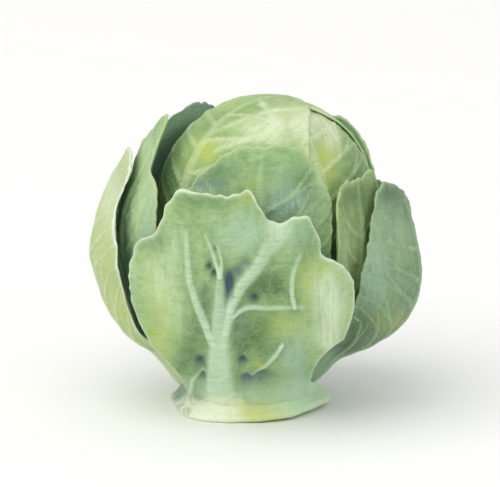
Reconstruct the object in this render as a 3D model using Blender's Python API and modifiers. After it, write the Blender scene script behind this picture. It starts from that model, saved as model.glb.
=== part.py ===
"""One brussels sprout on its cut stem: a tight head, the short stem and the leaves that stand round them."""

import math
from dataclasses import dataclass

import bmesh
import bpy
import numpy as np

# Driving dimensions, in millimetres and degrees. Azimuth 0 is to the right, 90 to the back, 270 to the front.
MM = 0.001
LEAF_THICKNESS = 0.7
TILT_FROM = 2.0
LEAN = 2.2  # how far the head stands to the right of the cut stem
LEAN_FROM, LEAN_TO = 4.0, 18.0  # heights between which the sprout leans over
HEAD_HEIGHT = 24.6  # of the middle of the head
HEAD_RADIUS = 13.3
GOLDEN_ANGLE = 137.5  # between one leaf and the next as they grow

STEM_PROFILE = [  # radius and height of the turned stem, from the cut face to the top
    (0.0, 0.0),
    (9.05, 0.0),
    (9.35, 0.3),
    (9.25, 0.7),
    (8.8, 1.1),
    (8.2, 1.5),
    (7.7, 2.0),
    (7.3, 2.7),
    (7.0, 4.2),
    (6.4, 6.6),
    (5.8, 9.2),
    (4.8, 11.4),
    (3.0, 12.3),
    (0.0, 12.3),
]
STEM_SIDES = 36
STEM_SCARS = 6  # old leaf scars round the flare
SCAR_DEPTH = 0.24

HEAD_CORE_RADIUS = 11.9
HEAD_CORE_RINGS = 18
HEAD_CORE_SIDES = 28


@dataclass
class Leaf:
    """One leaf. Its profile holds (distance from the growth axis, height) along the midrib, foot first."""

    name: str
    azimuth: float
    profile: list
    foot: tuple  # half widths where it leaves the stem, clockwise and anticlockwise of the midrib from above
    bend: float  # radius of the blade across the midrib
    foot_bend: float = 8.5  # the same where it leaves the stem
    widths: tuple = (0.0, 0.0)  # half widths of a plain rounded blade
    outline: tuple = ()  # or its outline, as (distance across, height) from the clockwise side round
    widest: float = 0.56  # share of the length at which it is widest
    shoulder: float = 0.80  # width at the lowest point of the rounded outline, as a share
    square: float = 1.0  # 1 for an oval tip, less for a squarer one
    scallop: float = 0.025  # waves cut into the outline, as a share of the width
    wave: float = 0.35  # height of the waved margin
    waves: float = 4.0
    phase: float = 0.0
    curl: float = 0.3  # how far the margin turns out
    tilt: tuple = (0.0, 0.0)  # how far each half stands out, per millimetre across beyond TILT_FROM
    rib: float = 0.7  # how far the midrib stands out at the foot
    columns: int = 20
    rows: int = 7
    thickness: float = LEAF_THICKNESS


LEAVES = [
    # The loose outer leaves, which leave the stem lowest
    Leaf(
        "left_outer_leaf", 178.0,
        [(8.2, 4.0), (11.3, 6.3), (15.7, 9.3), (19.9, 14.8), (21.2, 18.9), (20.7, 22.0), (19.5, 26.1),
         (16.2, 31.2)],
        (4.6, 5.2), 17.0, phase=0.6, waves=3.0, columns=22,
        outline=(
            (-9.6, 12.0), (-10.2, 17.0), (-9.8, 22.0), (-8.0, 26.5), (-4.5, 30.0), (0.0, 31.1),
            (5.0, 30.2), (9.0, 26.2), (11.5, 20.8), (11.2, 15.4), (10.0, 11.2),
        ),
    ),
    Leaf(
        "right_outer_leaf", 350.0,
        [(8.2, 5.0), (11.3, 6.6), (14.6, 8.2), (17.2, 10.6), (18.3, 13.8), (18.4, 17.4), (17.8, 21.0),
         (17.0, 24.0), (16.1, 26.8), (15.0, 29.2)],
        (5.4, 3.4), 10.2, phase=2.2, waves=3.0, wave=0.15, curl=0.15, columns=24,
        outline=(
            (-11.1, 8.8), (-11.7, 11.0), (-11.8, 13.8), (-11.5, 18.0), (-9.7, 23.0), (-7.2, 26.8),
            (-5.6, 28.3), (-3.2, 29.0), (-0.8, 27.4), (2.0, 25.0), (4.8, 22.4), (6.6, 19.4), (7.2, 15.5),
            (6.6, 12.0),
        ),
    ),
    Leaf(
        "back_left_outer_leaf", 114.0,
        [(8.5, 3.0), (12.2, 5.0), (16.2, 8.6), (18.9, 13.5), (19.7, 18.5), (19.3, 23.5), (18.2, 27.2),
         (16.8, 30.0)],
        (4.4, 4.4), 17.5, widths=(13.0, 11.3), phase=1.1, waves=4.5,
    ),
    Leaf(
        "back_right_outer_leaf", 46.0,
        [(8.4, 3.8), (11.6, 6.4), (15.2, 10.2), (17.6, 15.0), (18.3, 19.2), (17.8, 22.6), (17.0, 25.0)],
        (3.5, 4.2), 16.6, widths=(8.6, 9.6), tilt=(0.1, -0.1), phase=3.0, waves=4.0,
    ),
    # The inner leaves, which hug the head
    Leaf(
        "left_inner_leaf", 193.0,
        [(7.9, 6.2), (11.4, 9.2), (15.4, 13.4), (17.7, 18.6), (17.8, 24.0), (15.5, 29.8), (13.8, 33.2),
         (12.0, 36.0)],
        (3.6, 3.6), 16.5, phase=0.2, waves=3.5, wave=0.2, columns=26,
        outline=(
            (-6.8, 15.0), (-7.8, 20.0), (-7.6, 25.0), (-6.4, 29.5), (-4.0, 33.2), (-0.8, 35.9),
            (1.1, 34.2), (2.4, 32.3), (3.4, 30.7), (6.1, 29.4), (8.2, 26.8), (8.8, 22.5), (8.9, 18.0),
            (7.4, 12.6),
        ),
    ),
    Leaf(
        "back_left_inner_leaf", 140.0,
        [(7.9, 6.6), (11.0, 10.2), (14.1, 15.0), (15.4, 20.5), (15.4, 26.5), (13.8, 31.2), (11.1, 35.6)],
        (3.6, 3.6), 15.2, phase=4.0, waves=4.0,
        outline=(
            (-8.0, 16.0), (-9.6, 21.0), (-9.4, 26.0), (-7.8, 30.5), (-5.2, 33.6), (-2.5, 34.8), (0.5, 35.3),
            (4.0, 35.1), (6.5, 33.8), (8.0, 31.0), (8.8, 27.0), (9.0, 22.0), (8.0, 16.0),
        ),
    ),
    Leaf(
        "back_right_inner_leaf", 62.0,
        [(7.9, 6.4), (11.0, 10.2), (13.7, 15.0), (14.8, 20.5), (14.8, 26.0), (13.2, 31.2), (10.6, 34.4)],
        (3.6, 3.6), 15.0, widths=(8.8, 10.0), tilt=(0.09, 0.0), phase=5.0, waves=4.0,
    ),
    Leaf(
        "right_inner_leaf", 322.0,
        [(7.6, 8.0), (10.9, 11.0), (13.4, 14.8), (14.3, 19.5), (14.4, 24.0), (14.0, 27.3), (13.3, 30.5)],
        (3.6, 3.6), 15.0, tilt=(0.41, 0.0), phase=1.6, waves=3.5, wave=0.1, curl=0.0,
        outline=(
            (-5.1, 15.9), (-5.6, 20.0), (-5.7, 24.0), (-5.5, 27.0), (-4.4, 29.0), (-1.9, 29.8),
            (0.4, 29.7), (3.2, 30.2), (4.2, 28.0), (5.2, 24.5), (6.1, 20.0), (6.2, 15.5),
        ),
    ),
    Leaf(
        "front_inner_leaf", 266.0,
        [(7.7, 7.6), (10.6, 11.2), (13.2, 16.0), (14.4, 21.0), (14.45, 26.0), (13.4, 31.0), (10.9, 34.5)],
        (3.6, 3.6), 14.4, phase=0.9, waves=3.5, wave=0.1, curl=0.1,
        outline=(
            (-9.2, 15.5), (-10.8, 20.0), (-11.0, 25.0), (-10.4, 28.5), (-8.7, 30.9), (-6.2, 32.8),
            (-0.4, 34.4), (5.4, 33.8), (7.9, 30.7), (8.7, 28.6), (8.9, 25.0), (8.7, 20.0), (7.8, 15.0),
        ),
    ),
]

# The large leaf in front. Its outline is drawn as seen from the front: distance to the right, height.
FRONT_LEAF_OUTLINE = [
    (-11.7, 9.8), (-13.5, 13.6), (-14.2, 18.4), (-13.2, 22.6), (-11.4, 24.6), (-9.6, 28.0),
    (-7.8, 30.1), (-5.0, 30.1), (-2.0, 29.9), (0.1, 30.1), (1.2, 28.4), (2.4, 26.9), (4.1, 26.4), (5.4, 27.1),
    (6.8, 26.9), (8.0, 24.8), (8.8, 22.2), (10.8, 20.9), (12.0, 19.2), (12.4, 15.8), (12.0, 13.2),
    (11.2, 10.9),
]
FRONT_LEAF_PROFILE = [  # distance in front of the growth axis, height
    (9.4, 1.5), (9.6, 2.8), (10.4, 4.6), (12.8, 8.0), (15.2, 12.2), (17.0, 17.6), (17.2, 23.5), (16.6, 28.0),
    (16.9, 30.6),
]
FRONT_LEAF_FOOT = (7.8, 7.3)  # half widths where it leaves the stem, left and right
FRONT_LEAF_NECKS = (1.8, 3.6)  # left and right: above 1 it stays narrow for longer before it opens
FRONT_LEAF_FOOT_Z = 1.8
FRONT_LEAF_BENDS = (16.0, 24.0)  # the right half is the flatter one
FRONT_LEAF_FOOT_BEND = 9.5
FRONT_LEAF_MIDDLE_X = -0.9
FRONT_MIDRIB = [(-2.6, 1.9), (-3.1, 8.0), (-3.4, 16.0), (-3.2, 24.0)]
FRONT_VEINS = [  # each side vein as seen from the front: where it leaves the midrib, on the way, its end
    [(-3.2, 10.5), (-5.6, 14.5), (-6.6, 19.0), (-6.9, 24.5)],
    [(-3.3, 13.5), (0.2, 17.0), (3.4, 21.5), (5.4, 25.2)],
    [(-3.3, 13.0), (1.0, 14.4), (5.0, 14.8), (9.6, 14.2)],
    [(-3.0, 7.6), (0.6, 8.4), (3.4, 10.6), (6.4, 12.2)],
    [(-3.1, 8.2), (-6.2, 9.8), (-8.6, 13.0), (-10.6, 17.6)],
]

GREENS = {  # base colour of each leaf
    "front_leaf": (0.40, 0.58, 0.27),
    "front_inner_leaf": (0.33, 0.50, 0.22),
    "left_outer_leaf": (0.52, 0.65, 0.30),
    "left_inner_leaf": (0.36, 0.55, 0.30),
    "right_outer_leaf": (0.28, 0.44, 0.25),
    "right_inner_leaf": (0.20, 0.34, 0.15),
    "back_left_outer_leaf": (0.30, 0.47, 0.24),
    "back_right_outer_leaf": (0.27, 0.43, 0.22),
    "back_left_inner_leaf": (0.16, 0.28, 0.20),
    "back_right_inner_leaf": (0.24, 0.40, 0.20),
    "head": (0.50, 0.66, 0.32),
    "stem": (0.62, 0.74, 0.45),
}


def curve_through(points, share):
    """Smooth curve through the points. The share runs from 0 to 1 by distance along them."""
    points = np.array(points, float)
    knots = np.concatenate([[0.0], np.cumsum(np.linalg.norm(np.diff(points, axis=0), axis=1))])
    knots /= knots[-1]
    slopes = np.gradient(points, knots, axis=0)
    share = np.clip(np.asarray(share, float), 0.0, 1.0)
    i = np.clip(np.searchsorted(knots, share, side="right") - 1, 0, len(knots) - 2)
    span = (knots[i + 1] - knots[i])[..., None]
    f = (share - knots[i])[..., None] / span
    return (
        points[i] * (1 + 2 * f) * (1 - f) ** 2
        + points[i + 1] * f * f * (3 - 2 * f)
        + slopes[i] * span * f * (1 - f) ** 2
        + slopes[i + 1] * span * f * f * (f - 1)
    )


def smoothstep(low, high, value):
    """0 below low, 1 above high and a smooth rise between them."""
    t = np.clip((np.asarray(value, float) - low) / (high - low), 0.0, 1.0)
    return t * t * (3 - 2 * t)


def lean(height):
    """How far right the growth axis is at this height."""
    return LEAN * smoothstep(LEAN_FROM, LEAN_TO, height)


def distance_to_path(x, z, path, steps=40):
    """(distance from each point to a smooth path through the given points, share of the path there)."""
    share = np.linspace(0.0, 1.0, steps)
    along = curve_through(path, share)
    gaps = np.hypot(x[..., None] - along[:, 0], z[..., None] - along[:, 1])
    nearest = gaps.argmin(axis=-1)
    return gaps.min(axis=-1), share[nearest]


def clear_of_the_foot(s):
    """1 round most of a leaf, fading to 0 at both ends of its outline, so that its sides stay even."""
    return smoothstep(0.02, 0.2, s) * smoothstep(0.02, 0.2, 1 - s)


def outline(leaf, s):
    """(distance across, share of the length) round a leaf's outline, s from 0 at its clockwise side to 1."""
    if leaf.outline:
        drawn = curve_through(leaf.outline, s)
        share = np.linspace(0.0, 1.0, 200)
        return drawn[..., 0], np.interp(drawn[..., 1], curve_through(leaf.profile, share)[:, 1], share)
    lowest_turn = math.pi - math.asin(leaf.shoulder)
    turn = (2 * s - 1) * lowest_turn
    half_width = np.where(turn < 0, leaf.widths[0], leaf.widths[1])
    sine, cosine = np.sin(turn), np.cos(turn)
    square = np.where(cosine > 0, leaf.square, 1.0)
    depth = leaf.scallop * clear_of_the_foot(s)
    scallop = (1 + depth * np.sin(leaf.waves * turn * 2 + leaf.phase)) / (1 + leaf.scallop)
    across = half_width * np.sign(sine) * np.abs(sine) ** square
    rise = np.where(cosine > 0, 1 - leaf.widest, leaf.widest * 0.9) * np.sign(cosine)
    return across * scallop, leaf.widest + rise * np.abs(cosine) ** square * scallop


def leaf_surface(leaf, s, t):
    """Outer face of a leaf, in millimetres. s runs round it and t from the foot (0) to the margin (1)."""
    edge_across, edge_along = outline(leaf, s)
    foot_across = (2 * s - 1) * np.where(s < 0.5, leaf.foot[0], leaf.foot[1])
    across = foot_across + (edge_across - foot_across) * t
    along = edge_along * t

    middle = curve_through(leaf.profile, along)
    step = 0.01
    inside = np.clip(along, step, 1 - step)
    ahead = curve_through(leaf.profile, inside + step) - curve_through(leaf.profile, inside - step)
    ahead /= np.linalg.norm(ahead, axis=-1, keepdims=True)
    outward, upward = ahead[..., 1], -ahead[..., 0]

    bend = leaf.foot_bend + (leaf.bend - leaf.foot_bend) * smoothstep(0.0, 0.3, along)
    sideways = bend * np.sin(across / bend)
    inward = bend * (1 - np.cos(across / bend))
    margin = t**4 * clear_of_the_foot(s)
    wave = leaf.wave * np.sin(leaf.waves * 2 * math.pi * s + leaf.phase)
    rib_width = 1.5 - 0.9 * along
    rib = leaf.rib * (1 - 0.85 * along) * np.exp(-((across / rib_width) ** 2))
    tilt = np.where(across < 0, leaf.tilt[0], leaf.tilt[1]) * np.maximum(np.abs(across) - TILT_FROM, 0)
    tilt = tilt * smoothstep(0.1, 0.4, along)
    relief = (leaf.curl + wave) * margin + rib + tilt

    distance = middle[..., 0] + outward * (relief - inward)
    height = middle[..., 1] + upward * (relief - inward)
    angle = math.radians(leaf.azimuth)
    x = distance * math.cos(angle) - sideways * math.sin(angle) + lean(height)
    y = distance * math.sin(angle) + sideways * math.cos(angle)
    return np.stack([x, y, height], axis=-1), rib


def front_leaf_surface(s, t):
    """Outer face of the large front leaf, a broad cup whose outline is drawn as seen from the front."""
    edge = curve_through(FRONT_LEAF_OUTLINE, s)
    foot_x = (2 * s - 1) * np.where(s < 0.5, *FRONT_LEAF_FOOT)
    foot_z = FRONT_LEAF_FOOT_Z + 0.012 * foot_x**2
    neck = FRONT_LEAF_NECKS[0] + (FRONT_LEAF_NECKS[1] - FRONT_LEAF_NECKS[0]) * smoothstep(0.6, 1.0, s)
    x = foot_x + (edge[..., 0] - foot_x) * t**neck
    z = foot_z + (edge[..., 1] - foot_z) * t

    profile = curve_through(FRONT_LEAF_PROFILE, np.linspace(0, 1, 200))
    forward = np.interp(z, profile[:, 1], profile[:, 0])
    opened = smoothstep(3.0, 10.0, z)
    from_middle = x - FRONT_LEAF_MIDDLE_X * opened
    bend = np.where(from_middle < 0, *FRONT_LEAF_BENDS)
    bend = FRONT_LEAF_FOOT_BEND + (bend - FRONT_LEAF_FOOT_BEND) * opened
    inward = bend * (1 - np.sqrt(1 - (from_middle / bend) ** 2))

    from_rib, along = distance_to_path(x, z, FRONT_MIDRIB)
    rib = 1.1 * (1 - 0.75 * along) * np.exp(-((from_rib / (2.0 - 1.3 * along)) ** 2))
    for path in FRONT_VEINS:
        from_vein, along = distance_to_path(x, z, path)
        rib = np.maximum(rib, 0.45 * (1 - 0.6 * along) * np.exp(-((from_vein / 0.9) ** 2)))
    margin = t**4 * clear_of_the_foot(s)
    wave = 0.45 * np.sin(15 * math.pi * s + 0.4) + 0.5
    depth = forward - inward + rib + wave * margin
    return np.stack([x, -depth, z], axis=-1), rib


def collection_named(name):
    """A new collection in the scene."""
    made = bpy.data.collections.new(name)
    bpy.context.scene.collection.children.link(made)
    return made


def material_named(name, colour):
    """A plain waxy green or cream material."""
    made = bpy.data.materials.new(name)
    made.use_nodes = True
    shader = made.node_tree.nodes["Principled BSDF"]
    shader.inputs["Base Color"].default_value = (*colour, 1.0)
    shader.inputs["Roughness"].default_value = 0.55
    shader.inputs["Metallic"].default_value = 0.0
    return made


def leaf_blade(leaf, collection):
    """The blade of a leaf that grows as leaf_surface says."""
    return blade(
        leaf.name, lambda s, t: leaf_surface(leaf, s, t), leaf.columns, leaf.rows, leaf.thickness, collection
    )


def blade(name, surface, columns, rows, thickness, collection):
    """A leaf blade: an open grid laid on the surface, then given its thickness inwards."""
    bm = bmesh.new()
    bmesh.ops.create_grid(bm, x_segments=columns, y_segments=rows, size=0.5)
    grid = np.array([v.co[:2] for v in bm.verts]) + 0.5
    points, rib = surface(grid[:, 0], grid[:, 1])
    for vertex, point in zip(bm.verts, points):
        vertex.co = point * MM
    bmesh.ops.triangulate(bm, faces=bm.faces[:], quad_method="ALTERNATE")
    mesh = bpy.data.meshes.new(name)
    bm.to_mesh(mesh)
    bm.free()
    obj = bpy.data.objects.new(name, mesh)
    collection.objects.link(obj)

    full = thickness + rib.max()
    group = obj.vertex_groups.new(name="thickness")
    for index, height in enumerate(rib):
        group.add([index], (thickness + height) / full, "REPLACE")
    solid = obj.modifiers.new("thickness", "SOLIDIFY")
    solid.thickness = full * MM
    solid.offset = -1.0
    solid.vertex_group = "thickness"
    solid.thickness_vertex_group = 0.0
    mesh.shade_smooth()
    return obj


def stem(collection):
    """The short stem: a turned profile, then shallow scars pressed into its flare."""
    mesh = bpy.data.meshes.new("stem_profile")
    points = [(r * MM, 0.0, z * MM) for r, z in reversed(STEM_PROFILE)]
    mesh.from_pydata(points, [(i, i + 1) for i in range(len(points) - 1)], [])
    guide = bpy.data.objects.new("stem_profile", mesh)
    collection.objects.link(guide)
    turn = guide.modifiers.new("turn", "SCREW")
    turn.steps = turn.render_steps = STEM_SIDES
    turn.use_merge_vertices = True
    turn.merge_threshold = 0.00001
    bpy.context.view_layer.update()
    turned = bpy.data.meshes.new_from_object(guide.evaluated_get(bpy.context.evaluated_depsgraph_get()))
    bpy.data.objects.remove(guide)
    for vertex in turned.vertices:
        x, y, z = vertex.co
        angle = math.atan2(y, x)
        flare = float(smoothstep(3.5, 0.5, z / MM)) if z > 0 else 1.0
        dent = SCAR_DEPTH * MM * flare * (1 - math.cos(STEM_SCARS * angle + 0.9 + 0.6 * math.sin(2 * angle)))
        radius = math.hypot(x, y)
        if radius > dent * 4:
            vertex.co.x *= 1 - dent / radius
            vertex.co.y *= 1 - dent / radius
        vertex.co.x += float(lean(z / MM)) * MM
    turned.name = "stem"
    obj = bpy.data.objects.new("stem", turned)
    collection.objects.link(obj)
    turned.shade_smooth()
    turned.set_sharp_from_angle(angle=math.radians(45))
    return obj


def head_arc(radius, start, end, steps=9):
    """Profile of a leaf wrapped on the head, from one angle above straight down to another."""
    angles = np.radians(np.linspace(start, end, steps))
    return [(radius * math.sin(a), HEAD_HEIGHT - radius * math.cos(a)) for a in angles]


def head_leaves():
    """The wrapped leaves of the head, innermost first, each a golden angle on from the last."""
    tips = [150, 176, 190, 200, 186, 196]
    made = []
    for i, tip in enumerate(tips):
        radius = HEAD_RADIUS - 0.24 * (len(tips) - 1 - i)
        made.append(
            Leaf(
                f"head_leaf_{i}", 250.0 + i * GOLDEN_ANGLE, head_arc(radius, 38, tip), (5.0, 5.0), radius,
                foot_bend=radius, widths=(14.0, 14.0), widest=0.6, shoulder=0.9, phase=1.3 * i, waves=3.5,
                wave=0.1, curl=0.05, rib=0.22, columns=18, rows=10,
                thickness=radius - HEAD_CORE_RADIUS + 0.8,
            )
        )
    return made


def head(collection, cutters):
    """The head: a core that the wrapped leaves stand out of, joined into one body."""
    bm = bmesh.new()
    bmesh.ops.create_uvsphere(
        bm, u_segments=HEAD_CORE_SIDES, v_segments=HEAD_CORE_RINGS, radius=HEAD_CORE_RADIUS * MM
    )
    bmesh.ops.translate(bm, verts=bm.verts[:], vec=(LEAN * MM, 0.0, HEAD_HEIGHT * MM))
    mesh = bpy.data.meshes.new("head")
    bm.to_mesh(mesh)
    bm.free()
    obj = bpy.data.objects.new("head", mesh)
    collection.objects.link(obj)
    for leaf in head_leaves():
        piece = leaf_blade(leaf, cutters)
        piece.hide_render = True
        piece.display_type = "WIRE"
    join = obj.modifiers.new("wrapped leaves", "BOOLEAN")
    join.operation = "UNION"
    join.operand_type = "COLLECTION"
    join.collection = cutters
    bpy.context.view_layer.update()
    joined = bpy.data.meshes.new_from_object(obj.evaluated_get(bpy.context.evaluated_depsgraph_get()))
    for piece in list(cutters.objects):
        bpy.data.objects.remove(piece)
    obj.modifiers.clear()
    obj.data = joined
    joined.shade_smooth()
    joined.set_sharp_from_angle(angle=math.radians(35))
    return obj


def main():
    for obj in list(bpy.data.objects):
        bpy.data.objects.remove(obj)
    sprout = collection_named("brussels_sprout")
    wrapped = collection_named("wrapped_leaves")
    made = [stem(sprout), head(sprout, wrapped)]
    made.append(blade("front_leaf", front_leaf_surface, 42, 15, LEAF_THICKNESS, sprout))
    for leaf in LEAVES:
        made.append(leaf_blade(leaf, sprout))
    for obj in made:
        obj.data.materials.clear()
        obj.data.materials.append(material_named(obj.name, GREENS[obj.name]))


main()
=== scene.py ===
import math
from dataclasses import dataclass, field

import bpy
import numpy as np
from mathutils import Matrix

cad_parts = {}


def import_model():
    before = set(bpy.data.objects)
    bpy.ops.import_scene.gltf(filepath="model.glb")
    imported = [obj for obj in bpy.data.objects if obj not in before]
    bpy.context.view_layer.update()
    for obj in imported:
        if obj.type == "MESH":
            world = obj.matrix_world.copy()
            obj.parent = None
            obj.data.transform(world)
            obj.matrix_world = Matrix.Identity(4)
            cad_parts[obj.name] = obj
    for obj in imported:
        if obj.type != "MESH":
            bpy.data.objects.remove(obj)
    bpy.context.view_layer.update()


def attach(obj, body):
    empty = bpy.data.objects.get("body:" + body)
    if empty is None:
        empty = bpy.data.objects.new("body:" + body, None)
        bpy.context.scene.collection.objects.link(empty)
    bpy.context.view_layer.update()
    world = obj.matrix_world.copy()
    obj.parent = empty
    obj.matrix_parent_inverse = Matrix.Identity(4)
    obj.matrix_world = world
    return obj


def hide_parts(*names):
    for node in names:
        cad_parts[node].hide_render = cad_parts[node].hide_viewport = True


# One brussels sprout on its cut stem: veined outer leaves, the leaves that hug the head, and the wrapped
# head. Sizes are in millimetres and degrees. Azimuth 0 is to the right, 90 to the back, 270 to the front.
MM = 0.001
VIEW_RISE = 14.0  # how far above level the sprout is seen from
LEAN = 2.2  # how far the head stands to the right of the cut stem
LEAN_FROM, LEAN_TO = 4.0, 18.0
HEAD_HEIGHT = 24.6
HEAD_RADIUS = 13.3
HEAD_CORE_RADIUS = 12.2
GOLDEN_ANGLE = 137.5
TILT_FROM = 2.0  # this far from its midrib, a tilted half of a blade starts to lift

BLADE_THICKNESS = 0.7
RIM_THICKNESS = 0.16
RIM_WIDTH = 3.2  # over which the blade thins to its rim
FOOT_SINK = 0.5  # how far a leaf's foot runs into the stem
FOOT_DROP = 1.5  # and how far down on to its flare
FOOT_REACH = 3.6  # over this much of the leaf
FOOT_PALE = 6.0  # the pale colour of a foot reaches this far up

HOLLOW_DEPTH = 0.16  # beside the veins
PIT_DEPTH = 0.9
SHADE_DEPTH = 0.3  # a shaded patch is sunk a little too
CUSHION_HEIGHT = 0.05  # of the small swellings between the veins
INNER_RELIEF = 0.35  # share of the relief that shows on the inner face
ROLL_WIDTH, ROLL_HEIGHT = 1.2, 0.12  # of the rolled margin
CRIMP_WIDTH = 2.6  # how far in from the margin the crimps reach
CRIMP_SPREAD = 1.3  # how far they push the margin in and out, against their height
CRIMP_WAVES = range(5, 46, 3)  # number of waves round the margin
CRIMP_SIZE = 0.55  # the waves add up to about this height
RIM_FADE = 0.24  # width of the pale rim

MIDRIB_WIDTHS, MIDRIB_TIP = (1.5, 0.3), 0.08
SIDE_VEINS = 6  # on each half of a leaf
SIDE_VEIN_FIRST, SIDE_VEIN_STEP = 0.07, 0.125  # shares of the length
SIDE_VEIN_RISE, SIDE_VEIN_LOSS = 0.30, 0.025


@dataclass
class Leaf:
    """One leaf. Its profile holds (distance from the growth axis, height) along the midrib, foot first."""

    name: str
    azimuth: float
    profile: list
    foot: tuple  # half widths, clockwise and anticlockwise
    bend: float  # radius of the curve across the blade
    foot_bend: float = 8.5
    widths: tuple = (0.0, 0.0)  # half widths of a plain oval blade
    outline: tuple = ()  # or a drawn one, as (distance across, height)
    widest: float = 0.56  # how far along a plain blade is widest
    shoulder: float = 0.80  # its width at the foot, against its widest
    scallop: float = 0.025
    wave: float = 0.35  # height of the margin's slow waves
    waves: float = 4.0
    phase: float = 0.0
    curl: float = 0.3  # how far the margin turns outwards
    tilt: tuple = (0.0, 0.0)
    rib: float = 0.7  # height of the midrib at the foot
    crinkle: float = 0.16  # height of the fine uneven crimps along the margin
    lean: float = LEAN
    columns: int = 150
    rows: int = 84
    finish: str = "inner_leaf"
    patches: dict = field(default_factory=dict)  # soft patches of colour, by kind: painted shade, pits of painted shade, painted light, yellow stains and bloom
    drawn_veins: tuple = ()  # veins placed one by one, as vein_field takes them


def curve_through(points, share):
    """Smooth curve through the points. The share runs from 0 to 1 by distance along them."""
    points = np.array(points, float)
    knots = np.concatenate([[0.0], np.cumsum(np.linalg.norm(np.diff(points, axis=0), axis=1))])
    knots /= knots[-1]
    slopes = np.gradient(points, knots, axis=0)
    share = np.clip(np.asarray(share, float), 0.0, 1.0)
    i = np.clip(np.searchsorted(knots, share, side="right") - 1, 0, len(knots) - 2)
    span = (knots[i + 1] - knots[i])[..., None]
    f = (share - knots[i])[..., None] / span
    return (
        points[i] * (1 + 2 * f) * (1 - f) ** 2
        + points[i + 1] * f * f * (3 - 2 * f)
        + slopes[i] * span * f * (1 - f) ** 2
        + slopes[i + 1] * span * f * f * (f - 1)
    )


def smoothstep(low, high, value):
    """0 below low, 1 above high and a smooth rise between them."""
    t = np.clip((np.asarray(value, float) - low) / (high - low), 0.0, 1.0)
    return t * t * (3 - 2 * t)


def lean(height, amount=LEAN):
    """How far right the growth axis is at this height."""
    return amount * smoothstep(LEAN_FROM, LEAN_TO, height)


def clear_of_the_foot(s):
    """1 round most of a leaf, fading to 0 at both ends of its outline."""
    return smoothstep(0.02, 0.2, s) * smoothstep(0.02, 0.2, 1 - s)


def outline(leaf, s):
    """(distance across, share of the length) round a leaf's outline, s from 0 at its clockwise side to 1."""
    if leaf.outline:
        drawn = curve_through(leaf.outline, s)
        share = np.linspace(0.0, 1.0, 200)
        return drawn[..., 0], np.interp(drawn[..., 1], curve_through(leaf.profile, share)[:, 1], share)
    lowest_turn = math.pi - math.asin(leaf.shoulder)
    turn = (2 * s - 1) * lowest_turn
    half_width = np.where(turn < 0, leaf.widths[0], leaf.widths[1])
    sine, cosine = np.sin(turn), np.cos(turn)
    depth = leaf.scallop * clear_of_the_foot(s)
    scallop = (1 + depth * np.sin(leaf.waves * turn * 2 + leaf.phase)) / (1 + leaf.scallop)
    across = half_width * sine
    rise = np.where(cosine > 0, 1 - leaf.widest, leaf.widest * 0.9) * cosine
    return across * scallop, leaf.widest + rise * scallop


def blade_shape(leaf, s, t):
    """Broad form of a leaf: (points, distance across, distance along the midrib)."""
    edge_across, edge_along = outline(leaf, s)
    foot_across = (2 * s - 1) * np.where(s < 0.5, leaf.foot[0], leaf.foot[1])
    across = foot_across + (edge_across - foot_across) * t
    along = edge_along * t

    middle = curve_through(leaf.profile, along)
    step = 0.01
    inside = np.clip(along, step, 1 - step)
    ahead = curve_through(leaf.profile, inside + step) - curve_through(leaf.profile, inside - step)
    ahead /= np.linalg.norm(ahead, axis=-1, keepdims=True)
    outward, upward = ahead[..., 1], -ahead[..., 0]

    bend = leaf.foot_bend + (leaf.bend - leaf.foot_bend) * smoothstep(0.0, 0.3, along)
    sideways = bend * np.sin(across / bend)
    inward = bend * (1 - np.cos(across / bend))
    wave = leaf.wave * np.sin(leaf.waves * 2 * math.pi * s + leaf.phase)
    tilt = np.where(across < 0, leaf.tilt[0], leaf.tilt[1]) * np.maximum(np.abs(across) - TILT_FROM, 0)
    relief = (leaf.curl + wave) * t**4 * clear_of_the_foot(s) + tilt * smoothstep(0.1, 0.4, along)

    distance = middle[..., 0] + outward * (relief - inward)
    height = middle[..., 1] + upward * (relief - inward)
    angle = math.radians(leaf.azimuth)
    x = distance * math.cos(angle) - sideways * math.sin(angle) + lean(height, leaf.lean)
    y = distance * math.sin(angle) + sideways * math.cos(angle)
    length = np.linalg.norm(np.diff(np.array(leaf.profile), axis=0), axis=1).sum()
    return np.stack([x, y, height], axis=-1), across, along * length


# The large leaf in front. Its outline is drawn as seen from the front: (distance to the right, height).
FRONT_OUTLINE = [
    (-11.7, 9.8), (-13.5, 13.6), (-14.2, 18.4), (-13.2, 22.6), (-11.4, 24.6), (-9.6, 28.0), (-7.8, 30.1),
    (-5.0, 30.1), (-2.0, 29.9), (0.1, 30.1), (1.2, 28.4), (2.4, 26.9), (4.1, 26.4), (5.4, 27.1),
    (6.8, 26.9), (8.0, 24.8), (8.8, 22.2), (10.8, 20.9), (12.0, 19.2), (12.4, 15.8), (12.0, 13.2),
    (11.2, 10.9),
]
FRONT_PROFILE = [
    (8.5, 1.2), (8.7, 2.2), (9.2, 3.4), (10.3, 5.0), (12.8, 8.2), (15.2, 12.2), (17.0, 17.6), (17.2, 23.5),
    (16.6, 28.0), (16.9, 30.6),
]
FRONT_FOOT = (7.8, 7.3)  # half widths, left and right
FRONT_NECKS = (1.8, 3.6)  # left and right: above 1 it stays narrow for longer before it opens
FRONT_FOOT_Z = 1.8
FRONT_BENDS = (16.0, 24.0)  # the right half is the flatter one
FRONT_FOOT_BEND = 8.6
FRONT_MIDDLE_X = -0.9
FRONT_WAVE, FRONT_HALF_WAVES = 0.45, 15  # height and number of the margin's slow waves
FRONT_CURL = 0.5
FRONT_FOOT_RISE = 0.012  # how quickly the foot's line rises to both sides


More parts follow.
